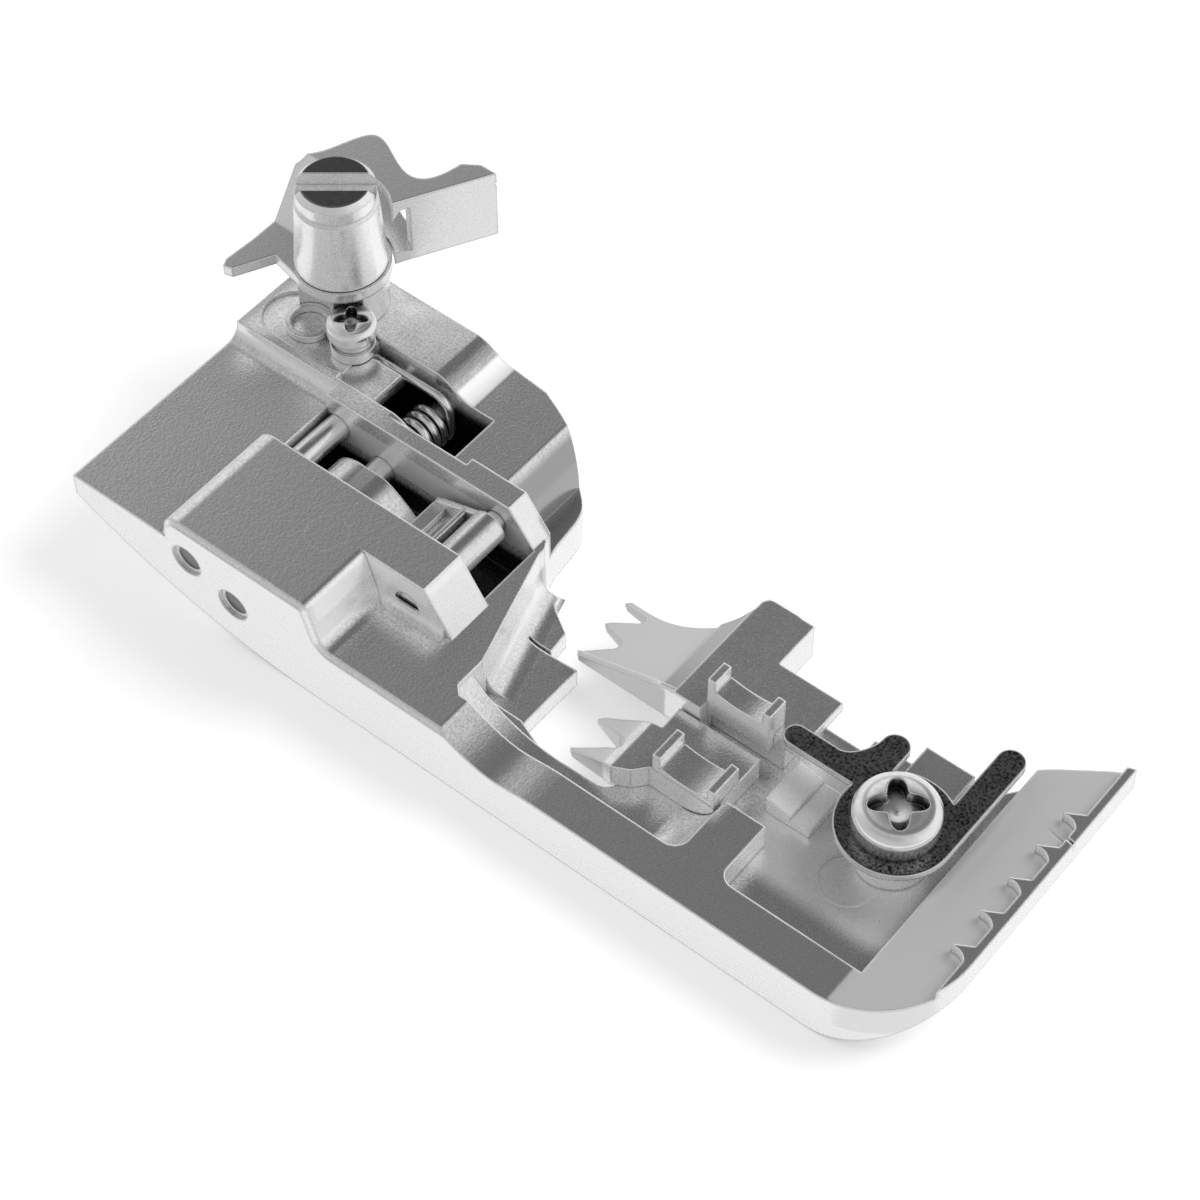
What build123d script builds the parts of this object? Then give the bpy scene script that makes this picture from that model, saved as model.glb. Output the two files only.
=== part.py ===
from build123d import *


# Presser foot of a five-thread overlock machine, in millimetres.
# Origin: the needle-drop point in the plane of the sole's underside.
# X runs to the toe, Y to the far side and Z up.

# Outer sizes of the casting
rear_x = -38.0  # rear edge of the head
toe_x = 32.85  # front edge of the toe lip
near_y = -10.0  # near side of the foot
head_far_y = 16.8  # far edge of the head
head_corner_r = 1.0
underside_rise = 5.45  # height of the underside at the rear edge
underside_run = 22.0  # length of the curved underside of the head
toe_rise = 3.2  # height of the underside at the toe
toe_run = 7.85  # length of the curved underside of the toe

# Levels of the top faces
low_plate_z = 7.35
block_z = 9.45
plateau_z = 8.7
step_z = 5.8
sole_z = 4.4
lip_z = 5.45
floor_z = 2.2
tongue_z = 1.6
ledge_z = 3.3

# Near block and arm of the head
block_rear_x = -29.6
block_round = 1.6  # rounding of the block's rear top edge
block_front_x = -16.9
step_foot_x = -14.4
step_top_r = 0.6
step_foot_r = 1.3
step_angle = 75
ramp_top_x = -4.9
valley_x = -0.4
valley_end_x = 3.2
valley_drop = 0.3
arm_near_y = -3.7
arm_slope_run = 2.35
arm_front_x = -11.25
edge_break = 0.35
plateau_cove_r = 1.25  # hollow at the plateau's near foot
foot_round = 0.9  # hollow along the arm's near foot

# Open bay between arm and rail
bay_near_y = 0.1
bay_far_y = 5.73
bay_rear_x = -28.4
bay_front_x = -9.5
bay_floor_z = 1.8

# Rail on the far side of the bay
rail_wide = 1.25
rail_front_x = -11.7
rail_slope_run = 2.7
rail_foot_z = 5.0
rail_wide_part = 4.8  # length of the widened front part
rail_widening = 0.66

# Far half of the head
plateau_front_x = -23.6
plateau_step_run = 3.5
far_plate_front_x = -14.1
ledge_reach = 2.2
ledge_cove_r = 4.6
spring_bay_rear_x = -28.9
spring_bay_length = 10.55
spring_bay_gap = 0.42  # web between the rail and the spring bay
spring_bay_wide = 4.7
spring_bay_floor_z = 2.6

# Sole, pocket and needle opening
side_rail_wide = 3.15
pocket_rear_x = -6.2
pocket_gap = 0.2  # between the near finger plate and the pocket's front
pocket_corner_r = 1.2
front_ramp_run = 2.9
rear_ramp_end_x = 1.0
island_wide = 3.3
island_far_y = -1.8
toe_wall_x = 27.4
toe_pocket_corner_r = 1.0
sole_far_y = 9.6
sole_far_start_x = 16.9
insert_seat_far_y = 8.4
needle_rear_x = -2.7
needle_front_x = 5.7
needle_near_y = -4.9
needle_corner_r = 1.4
tongue_near_y = -3.95
tongue_cove_r = 1.9

# Toe lip and its ribs
lip_wide = 0.65
lip_step = 0.75
rib_count = 5
rib_first_y = -2.25
rib_pitch = 3.18
rib_length = 1.25
rib_far_side = 0.85  # spread of a rib's foot to each side of its tip
rib_near_side = 0.5
rib_tip_wide = 0.12
rib_hollow = 0.25
scribe_x = 31.6
scribe_y = 9.15
scribe_long = 2.4
scribe_wide = 0.2
scribe_depth = 0.85
scribe_turn = -11
toe_corner_r = 7.2
toe_flare = 6.8

# Mark left by the mould's ejector pin
mark_depth = 0.08
pocket_mark_r = 2.0

# Pins through the head
rear_pin_x = -27.4
rear_pin_z = 6.08
hinge_x = -23.3
hinge_z = 4.43
stop_pin_x = -12.85
stop_pin_z = 6.63
pin_d = 2.0
pin_recess = 0.35
pin_ring_d = 2.6  # counterbore round each pin's near end
pin_far_y = 13.8
stop_pin_d = 1.6
groove_depth = 0.22
groove_wide = 0.35
groove_pitch = 0.8
groove_count = 2
press_gap = 0.01  # between a pressed pin and its hole
running_gap = 0.04  # between a turning part and its pin
face_gap = 0.05  # between a moving face and a fixed one

# Rocker and link frame in the bay
rocker_hub_r = 2.55
rocker_side_gap = 0.25
rocker_wide = 3.15
rocker_nose_x = 5.8
link_tube_r = 1.35
link_wall = 0.45
link_wide = 4.5
link_length = 4.6

# Torsion spring
spring_wire = 0.62
wire_sides = 6  # flats that stand for the round wire
spring_turns = 4.25
spring_pitch = 0.78
spring_clear = 0.15
spring_near_gap = 0.72
spring_bend_r = 1.4

# Cover over the rear of the spring bay
cover_length = 3.3
cover_wide = 3.2
cover_thick = 0.5
cover_depth = 0.3
cover_leg = 0.4  # thickness of the leg that stands on the bay floor

# Clamp plate and its screw on the plateau
clamp_screw_x = -29.9
clamp_screw_y = 10.4
clamp_plate_r = 1.75
clamp_plate_reach = 3.9
clamp_plate_thick = 0.6
clamp_eye_d = 1.3
clamp_head_d = 3.65
clamp_recess_long = 2.3
clamp_recess_wide = 0.55
clamp_shank_d = 1.6
clamp_washer_d = 3.3
clamp_washer_h = 1.1
spot_face_r = 2.25
spot_face_reach = 5.35
spot_face_depth = 0.25
spot_face_shift = 0.4

# Post and release lever
post_x = -33.4
post_y = 13.5
pedestal_r = 3.3
lever_low_z = 12.0  # underside of the lever's eye
lever_thick = 0.9
lever_high_z = 18.0  # top of the lever's raised lobe
lever_eye_r = 3.6
lever_reach = 6.2  # from the post to the lever's rear edge
finger_reach = 5.8  # from the post to the tip of the lever's low finger
lobe_reach = 8.7
post_base_r = 3.4
post_top_r = 2.9
post_top_z = 20.5
post_band = 1.4
post_groove = 0.12
post_chamfer = 0.45
post_slot_wide = 1.7
post_slot_deep = 1.1
post_slot_angle = 38.6
post_stem_r = 1.5
post_stem_depth = 3.0
flange_drop = 5.8
flange_length = 6.6
flange_round = 0.7
flange_x = -26.8
flange_y = 23.0

# Stitch finger plates
finger_top_z = 5.5
overhang_thick = 0.9
far_ridge_y = 2.4
far_ridge_wide = 0.4
scoop_depth = 0.35
finger_tip_x = -3.3
finger_tip_z = 2.75
finger_thick = 0.5
scoop_crease_x = 3.9
far_plate_rear_x = 5.3
far_body_past_clip = 0.9
far_plate_past_clip = 2.05
far_lobe_x = 9.4
far_lobe_y = 12.76
far_lobe_r = 1.5
far_step_y = 8.7
near_base_near_y = -4.3
near_base_far_y = 2.3
near_tip_x = 1.45

# Thread guides on the finger plates
ear_thick = 0.62
guide_clip_length = 5.1
clip_gap = 0.6  # between the thread guides and the guide's finger
far_clip_near_y = 3.15
far_clip_wide = 1.75
far_clip_floor_z = 7.0
near_clip_near_y = -2.75
near_clip_wide = 2.65
near_clip_floor_z = 4.9
ear_height = 1.05
clip_dip = 0.25

# Screws that hold the finger plates from below
insert_screw_d = 2.5
insert_sink = 0.2  # depth of the heads below the sole
insert_slot = 0.5
insert_thread_h = 1.4  # length of thread in a finger plate
insert_screw_places = ((10.2, 6.0), (10.2, -0.6))

# Stop block beside the guide
stop_gap = 1.0  # between the far finger plate and the stop block
stop_length = 3.6
stop_near_y = 0.4
stop_wide = 3.8
stop_height = 1.5
stop_strip = 1.6
stop_fall = 0.7

# Guide, its boss and its clamp screw
guide_x = 23.2
guide_y = 2.6
guide_thick = 0.55
guide_top_z = 6.3
guide_ring_r = 4.1
guide_finger_wide = 1.7
guide_finger_reach = 10.0
guide_fork_wide = 2.0
guide_fork_x = -3.5
guide_fork_reach = 5.9
guide_arm_wide = 2.0
guide_arm_x = 3.1
guide_arm_reach = 9.6
guide_screw_d = 2.6
guide_head_d = 6.0
guide_head_h = 2.4
guide_head_round = 1.2
recess_long = 3.5
recess_wide = 0.95
recess_deep = 1.2
guide_boss_d = 5.0
pad_x = 22.8
pad_length = 3.85
pad_wide = 4.0
pad_z = 5.0

clip_front_x = guide_x - guide_finger_reach - clip_gap
guide_clip_rear_x = clip_front_x - guide_clip_length
far_body_front_x = clip_front_x + far_body_past_clip
far_plate_end_x = clip_front_x + far_plate_past_clip
near_base_front_x = clip_front_x + press_gap
pocket_front_x = near_base_front_x + pocket_gap
stop_rear_x = far_body_front_x + stop_gap
rail_far_y = bay_far_y + rail_wide
rail_y = near_y + side_rail_wide
guide_seat_z = guide_top_z - guide_thick
eye_top_z = lever_low_z + lever_thick
post_base_z = eye_top_z + face_gap
pedestal_top_z = lever_low_z - face_gap
island_front_x = pocket_front_x + island_wide
lip_rear_x = toe_x - lip_wide
rail_slope_x = rail_front_x + rail_slope_run
spring_bay_near_y = rail_far_y + spring_bay_gap
head_end_x = rear_x + underside_run
toe_start_x = toe_x - toe_run
rear_wall_lean = pocket_rear_x - rail_slope_x
rear_wall_length = bay_far_y - arm_near_y
spread = 60.0  # reach of a cutter past the part


def side(y):
    """Upright plane facing the near side, at depth y"""
    return Plane.XZ.offset(-y)


def level(z):
    """Flat plane at height z"""
    return Plane.XY.offset(z)


def sole_line(start):
    """Top line of the sole from start, over the toe, along the base and up the rear edge"""
    Line(start, (ramp_top_x, step_z))
    Spline(
        (ramp_top_x, step_z),
        (valley_x, sole_z - valley_drop),
        (valley_end_x, sole_z),
        tangents=[(1, -0.6), (1, 0)],
    )
    Polyline(
        (valley_end_x, sole_z),
        (toe_wall_x, sole_z),
        (lip_rear_x, lip_z - lip_step),
        (lip_rear_x, lip_z),
        (toe_x, lip_z),
        (toe_x, 0),
        (rear_x, 0),
        (rear_x, low_plate_z),
        (block_rear_x, low_plate_z),
    )


def block_line():
    """Rear face and rounded top edge of the near block"""
    Line((block_rear_x, low_plate_z), (block_rear_x, block_z - block_round))
    RadiusArc(
        (block_rear_x, block_z - block_round),
        (block_rear_x + block_round, block_z),
        block_round,
    )


with BuildPart() as foot_casting:
    # Near block, stepping down to the sole
    with BuildSketch(side(near_y)):
        with BuildLine():
            sole_line((step_foot_x, step_z))
            block_line()
            Line((block_rear_x + block_round, block_z), (block_front_x, block_z))
            top_round = JernArc((block_front_x, block_z), (1, 0), step_top_r, -step_angle)
            foot_hollow = JernArc((step_foot_x, step_z), (-1, 0), step_foot_r, -step_angle)
            Line(top_round @ 1, foot_hollow @ 1)
        make_face()
    extrude(amount=near_y - arm_near_y)
    # Arm beside the bay
    with BuildSketch(side(arm_near_y)):
        with BuildLine():
            sole_line((arm_front_x + arm_slope_run, step_z))
            block_line()
            Polyline(
                (block_rear_x + block_round, block_z),
                (arm_front_x, block_z),
                (arm_front_x + arm_slope_run, step_z),
            )
        make_face()
    extrude(amount=arm_near_y - bay_near_y)
    # Bed of the bay and of the pocket
    with BuildSketch(side(bay_near_y)):
        with BuildLine():
            sole_line((bay_front_x, step_z))
            Polyline(
                (block_rear_x, low_plate_z),
                (bay_rear_x + 1, low_plate_z),
                (bay_rear_x + 1, step_z),
                (bay_front_x, step_z),
            )
        make_face()
    extrude(amount=bay_near_y - rail_far_y)
    # Rail, wider at its front
    with BuildSketch(side(bay_far_y)):
        Polygon(
            (bay_rear_x, bay_floor_z),
            (bay_rear_x, plateau_z),
            (rail_front_x, plateau_z),
            (rail_slope_x, rail_foot_z),
            (rail_slope_x, bay_floor_z),
            align=None,
        )
    extrude(amount=-rail_wide)
    with BuildSketch(side(rail_far_y)):
        Polygon(
            (rail_front_x - rail_wide_part, bay_floor_z),
            (rail_front_x - rail_wide_part, plateau_z),
            (rail_front_x, plateau_z),
            (rail_slope_x, rail_foot_z),
            (rail_slope_x, bay_floor_z),
            align=None,
        )
    extrude(amount=-rail_widening)
    # Far half of the head, its plateau stepping down to the far plate
    with BuildSketch(side(rail_far_y)):
        with BuildLine():
            Polyline((rear_x, 0), (rear_x, plateau_z), (plateau_front_x, plateau_z))
            Spline(
                (plateau_front_x, plateau_z),
                (plateau_front_x + plateau_step_run, low_plate_z),
                tangents=[(1, -0.1), (1, 0)],
            )
            Line((plateau_front_x + plateau_step_run, low_plate_z), (far_plate_front_x, low_plate_z))
            RadiusArc(
                (far_plate_front_x, low_plate_z),
                (far_plate_front_x + ledge_reach, ledge_z),
                ledge_cove_r,
            )
            Polyline(
                (far_plate_front_x + ledge_reach, ledge_z),
                (rail_slope_x, ledge_z),
                (rail_slope_x, 0),
                (rear_x, 0),
            )
        make_face()
    extrude(amount=rail_far_y - head_far_y)
    # Sole and toe on the far side
    with BuildSketch(side(rail_far_y)):
        Polygon(
            (rail_slope_x, 0),
            (rail_slope_x, ledge_z),
            (valley_end_x, sole_z),
            (toe_wall_x, sole_z),
            (lip_rear_x, lip_z - lip_step),
            (lip_rear_x, lip_z),
            (toe_x, lip_z),
            (toe_x, 0),
            align=None,
        )
    extrude(amount=rail_far_y - head_far_y)
    # Hollow edges at the foot of the plateau and of the arm
    with BuildSketch(Plane.YZ.offset(rear_x)):
        with BuildLine():
            Polyline(
                (rail_far_y - plateau_cove_r, low_plate_z),
                (rail_far_y, low_plate_z),
                (rail_far_y, low_plate_z + plateau_cove_r),
            )
            RadiusArc(
                (rail_far_y, low_plate_z + plateau_cove_r),
                (rail_far_y - plateau_cove_r, low_plate_z),
                plateau_cove_r,
            )
        make_face()
    extrude(amount=bay_rear_x - rear_x)
    with BuildSketch(Plane.YZ.offset(step_foot_x - 1.5)):
        with BuildLine():
            Polyline(
                (arm_near_y - foot_round, step_z),
                (arm_near_y, step_z),
                (arm_near_y, step_z + foot_round),
            )
            RadiusArc((arm_near_y, step_z + foot_round), (arm_near_y - foot_round, step_z), foot_round)
        make_face()
    extrude(amount=arm_front_x + arm_slope_run - 0.6 - step_foot_x + 1.5)
    # Outline seen from above
    with BuildSketch(level(-1)):
        with BuildLine():
            Line((rear_x, head_far_y - head_corner_r), (rear_x, near_y))
            Line((rear_x, near_y), (toe_x - toe_corner_r, near_y))
            RadiusArc(
                (toe_x - toe_corner_r, near_y),
                (toe_x, near_y + toe_corner_r),
                -toe_corner_r,
            )
            Line((toe_x, near_y + toe_corner_r), (toe_x, sole_far_y + toe_flare))
            Spline(
                (toe_x, sole_far_y + toe_flare),
                (toe_x - 3.0, sole_far_y + 0.76 * toe_flare),
                (toe_x - 5.5, sole_far_y + 0.49 * toe_flare),
                (toe_x - 8.2, sole_far_y + 0.05 * toe_flare),
                (toe_x - 9.6, sole_far_y),
                tangents=[(-1, -0.25), (-1, 0)],
            )
            Polyline(
                (toe_x - 9.6, sole_far_y),
                (sole_far_start_x, sole_far_y),
                (sole_far_start_x, insert_seat_far_y),
                (needle_front_x, insert_seat_far_y),
                (needle_front_x, needle_near_y + needle_corner_r),
            )
            RadiusArc(
                (needle_front_x, needle_near_y + needle_corner_r),
                (needle_front_x - needle_corner_r, needle_near_y),
                needle_corner_r,
            )
            Polyline(
                (needle_front_x - needle_corner_r, needle_near_y),
                (needle_rear_x + 2.3, needle_near_y),
                (needle_rear_x, tongue_near_y),
                (needle_rear_x, 2.0),
                (needle_rear_x - 2.4, 1.9),
                (needle_rear_x - 2.6, 4.0),
                (rail_slope_x, bay_far_y + 0.6),
            )
            Spline(
                (rail_slope_x, bay_far_y + 0.6),
                (rail_slope_x - 0.9, head_far_y - 7.3),
                (rail_slope_x - 1.5, head_far_y - 4.5),
                (far_plate_front_x + 1.9, head_far_y - 2.9),
                (far_plate_front_x, head_far_y - 1.7),
                (far_plate_front_x - 3.0, head_far_y - 0.3),
            )
            Line((far_plate_front_x - 3.0, head_far_y - 0.3), (far_plate_front_x - 6.1, head_far_y))
            Line((far_plate_front_x - 6.1, head_far_y), (rear_x + head_corner_r, head_far_y))
            RadiusArc((rear_x + head_corner_r, head_far_y), (rear_x, head_far_y - head_corner_r), -head_corner_r)
        make_face()
    extrude(amount=spread, mode=Mode.INTERSECT)
    # Curved underside of the head and of the toe
    with BuildSketch(side(near_y - 1)):
        with BuildLine():
            RadiusArc(
                (rear_x, underside_rise),
                (head_end_x, 0),
                -(underside_run**2 + underside_rise**2) / (2 * underside_rise),
            )
            Polyline(
                (head_end_x, 0),
                (head_end_x, -1),
                (rear_x - 1, -1),
                (rear_x - 1, underside_rise),
                (rear_x, underside_rise),
            )
        make_face()
        with BuildLine():
            RadiusArc(
                (toe_start_x, 0),
                (toe_x, toe_rise),
                -(toe_run**2 + toe_rise**2) / (2 * toe_rise),
            )
            Polyline((toe_x, toe_rise), (toe_x + 1, toe_rise), (toe_x + 1, -1), (toe_start_x, -1), (toe_start_x, 0))
        make_face()
    extrude(amount=-spread, mode=Mode.SUBTRACT)
    # Pocket round the finger plates and pocket behind the toe
    with BuildSketch(level(floor_z)):
        with BuildLine():
            Polyline(
                (rail_slope_x, head_far_y),
                (rail_slope_x, bay_far_y),
                (pocket_rear_x, arm_near_y),
                (pocket_rear_x, rail_y + 0.6),
                (pocket_rear_x + 0.6, rail_y),
                (pocket_front_x - pocket_corner_r, rail_y),
            )
            RadiusArc(
                (pocket_front_x - pocket_corner_r, rail_y),
                (pocket_front_x, rail_y + pocket_corner_r),
                -pocket_corner_r,
            )
            Polyline(
                (pocket_front_x, rail_y + pocket_corner_r),
                (pocket_front_x, island_far_y),
                (island_front_x, island_far_y),
                (island_front_x, rail_y + toe_pocket_corner_r),
            )
            RadiusArc(
                (island_front_x, rail_y + toe_pocket_corner_r),
                (island_front_x + toe_pocket_corner_r, rail_y),
                -toe_pocket_corner_r,
            )
            Polyline(
                (island_front_x + toe_pocket_corner_r, rail_y),
                (toe_wall_x, rail_y),
                (toe_wall_x, head_far_y),
                (rail_slope_x, head_far_y),
            )
        make_face()
    extrude(amount=spread, mode=Mode.SUBTRACT)
    # Tongue behind the needle opening, hollowed up to the rear wall
    with BuildSketch(level(tongue_z)):
        Polygon(
            (rail_slope_x, bay_far_y + 0.7),
            (rail_slope_x, bay_far_y),
            (pocket_rear_x, arm_near_y),
            (pocket_rear_x, tongue_near_y),
            (needle_rear_x, tongue_near_y),
            (needle_rear_x, bay_far_y + 0.7),
            align=None,
        )
    extrude(amount=spread, mode=Mode.SUBTRACT)
    rear_wall = Plane(
        origin=(rail_slope_x, bay_far_y, tongue_z),
        x_dir=(rear_wall_length, rear_wall_lean, 0),
        z_dir=(rear_wall_lean, -rear_wall_length, 0),
    )
    with BuildSketch(rear_wall):
        with BuildLine():
            Polyline((0, tongue_cove_r), (0, 0), (tongue_cove_r, 0))
            RadiusArc((tongue_cove_r, 0), (0, tongue_cove_r), tongue_cove_r)
        make_face()
    extrude(amount=rear_wall_length)
    # Ramps at both ends of the pocket
    with BuildSketch(side(rail_y)):
        with BuildLine():
            Line((pocket_rear_x, floor_z), (pocket_rear_x, step_z - 0.3))
            ThreePointArc(
                (pocket_rear_x, step_z - 0.3),
                ((pocket_rear_x + rear_ramp_end_x) / 2 - 0.3, (floor_z + step_z) / 2 - 0.9),
                (rear_ramp_end_x, floor_z),
            )
            Line((rear_ramp_end_x, floor_z), (pocket_rear_x, floor_z))
        make_face()
    extrude(amount=rail_y - needle_near_y)
    with BuildSketch(side(rail_y)):
        with BuildLine():
            Line((pocket_front_x, floor_z), (pocket_front_x, sole_z))
            ThreePointArc(
                (pocket_front_x, sole_z),
                (pocket_front_x - 0.42 * front_ramp_run, floor_z + 0.6),
                (pocket_front_x - front_ramp_run, floor_z),
            )
            Line((pocket_front_x - front_ramp_run, floor_z), (pocket_front_x, floor_z))
        make_face()
    extrude(amount=rail_y - (near_clip_near_y - face_gap))
    # Slit beside the far prong of the tongue
    with BuildSketch(level(0)):
        with Locations((needle_rear_x - 3.3, 2.0)):
            Rectangle(2.0, 0.25)
    extrude(amount=tongue_z + 1, mode=Mode.SUBTRACT)
    # Open bay between arm and rail, and the bay of the spring
    with BuildSketch(level(bay_floor_z)):
        with Locations((bay_rear_x, bay_near_y)):
            Rectangle(bay_front_x - bay_rear_x, bay_far_y - bay_near_y, align=Align.MIN)
    extrude(amount=spread, mode=Mode.SUBTRACT)
    with BuildSketch(level(spring_bay_floor_z)):
        with Locations((spring_bay_rear_x, spring_bay_near_y)):
            Rectangle(spring_bay_length, spring_bay_wide, align=Align.MIN)
    extrude(amount=spread, mode=Mode.SUBTRACT)
    # Ribs behind the toe lip
    with BuildSketch(level(sole_z)):
        for count in range(rib_count):
            tip_y = rib_first_y + count * rib_pitch
            with BuildLine():
                Polyline(
                    (lip_rear_x - rib_length, tip_y),
                    (lip_rear_x - rib_length, tip_y + rib_tip_wide),
                    (lip_rear_x, tip_y + rib_far_side),
                    (lip_rear_x + lip_wide / 2, tip_y + rib_far_side),
                    (lip_rear_x + lip_wide / 2, tip_y - rib_near_side),
                    (lip_rear_x, tip_y - rib_near_side),
                )
                ThreePointArc(
                    (lip_rear_x, tip_y - rib_near_side),
                    (lip_rear_x - rib_length / 2, tip_y - rib_near_side / 2 + rib_hollow),
                    (lip_rear_x - rib_length, tip_y),
                )
            make_face()
    extrude(amount=lip_z - sole_z)
    # Scribed line between the last two ribs
    with BuildSketch(level(lip_z - scribe_depth)):
        with Locations((scribe_x, scribe_y)):
            Rectangle(scribe_long, scribe_wide, rotation=scribe_turn)
    extrude(amount=scribe_depth, mode=Mode.SUBTRACT)
    # Boss under the guide and the pad beyond it
    with BuildSketch(level(floor_z)):
        with Locations((guide_x, guide_y)):
            Circle(guide_boss_d / 2)
    extrude(amount=guide_seat_z - floor_z)
    with BuildSketch(level(floor_z)):
        with Locations((pad_x, sole_far_y)):
            Rectangle(pad_length, pad_wide, align=(Align.CENTER, Align.MAX))
    extrude(amount=pad_z - floor_z)
    # Broken edge along the near side of the block
    chamfer(
        foot_casting.edges()
        .filter_by_position(Axis.Y, near_y - 0.01, near_y + 0.01)
        .filter_by(lambda e: e.center().Z > block_z - 0.01),
        length=edge_break,
    )
    # Thread holes of the post, the guide screw and the clamp screw
    with Locations((post_x, post_y, plateau_z)):
        Hole(radius=post_stem_r + press_gap, depth=post_stem_depth)
    with Locations((guide_x, guide_y, guide_seat_z)):
        Hole(radius=guide_screw_d / 2 + press_gap)
    with Locations((clamp_screw_x, clamp_screw_y, plateau_z)):
        Hole(radius=clamp_shank_d / 2 + press_gap, depth=post_stem_depth)
    # Threaded holes of the insert screws
    with BuildSketch(level(0)):
        with Locations(*insert_screw_places):
            Circle(insert_screw_d / 2 + press_gap)
    extrude(amount=floor_z, mode=Mode.SUBTRACT)
    # Slotted spot face on the plateau and ejector mark in the toe pocket
    with BuildSketch(level(plateau_z - spot_face_depth)):
        with Locations((clamp_screw_x - spot_face_reach / 2, clamp_screw_y - spot_face_shift)):
            SlotCenterToCenter(spot_face_reach, 2 * spot_face_r)
    extrude(amount=spot_face_depth, mode=Mode.SUBTRACT)
    with BuildSketch(level(floor_z - mark_depth)):
        with Locations((guide_x - 1.2, guide_y - 3.2)):
            Circle(pocket_mark_r)
        with Locations((guide_x, guide_y)):
            Circle(guide_boss_d / 2, mode=Mode.SUBTRACT)
    extrude(amount=mark_depth, mode=Mode.SUBTRACT)
    # Holes of the cross pins
    with BuildSketch(side(near_y)):
        with Locations((rear_pin_x, rear_pin_z), (hinge_x, hinge_z)):
            Circle(pin_d / 2 + press_gap)
    extrude(amount=near_y - pin_far_y, mode=Mode.SUBTRACT)
    with BuildSketch(side(near_y)):
        with Locations((rear_pin_x, rear_pin_z), (hinge_x, hinge_z)):
            Circle(pin_ring_d / 2)
    extrude(amount=-pin_recess, mode=Mode.SUBTRACT)
    with BuildSketch(side(arm_near_y)):
        with Locations((stop_pin_x, stop_pin_z)):
            Circle(stop_pin_d / 2 + press_gap)
    extrude(amount=arm_near_y - rail_far_y, mode=Mode.SUBTRACT)
    with BuildSketch(side(arm_near_y)):
        with Locations((stop_pin_x, stop_pin_z)):
            Circle(stop_pin_d / 2 + 0.25)
    extrude(amount=-0.15, mode=Mode.SUBTRACT)

# Far finger plate: three stitch fingers, a scoop and an overhanging plate
scoop_crease_z = finger_top_z - 0.9
scoop_rear_z = scoop_crease_z - scoop_depth
ridge_end_x = far_plate_rear_x + 0.1
far_clip_face_y = far_clip_near_y + ear_thick
far_clip_body_y = far_clip_face_y + press_gap
root_x = finger_tip_x + 2.2

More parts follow.
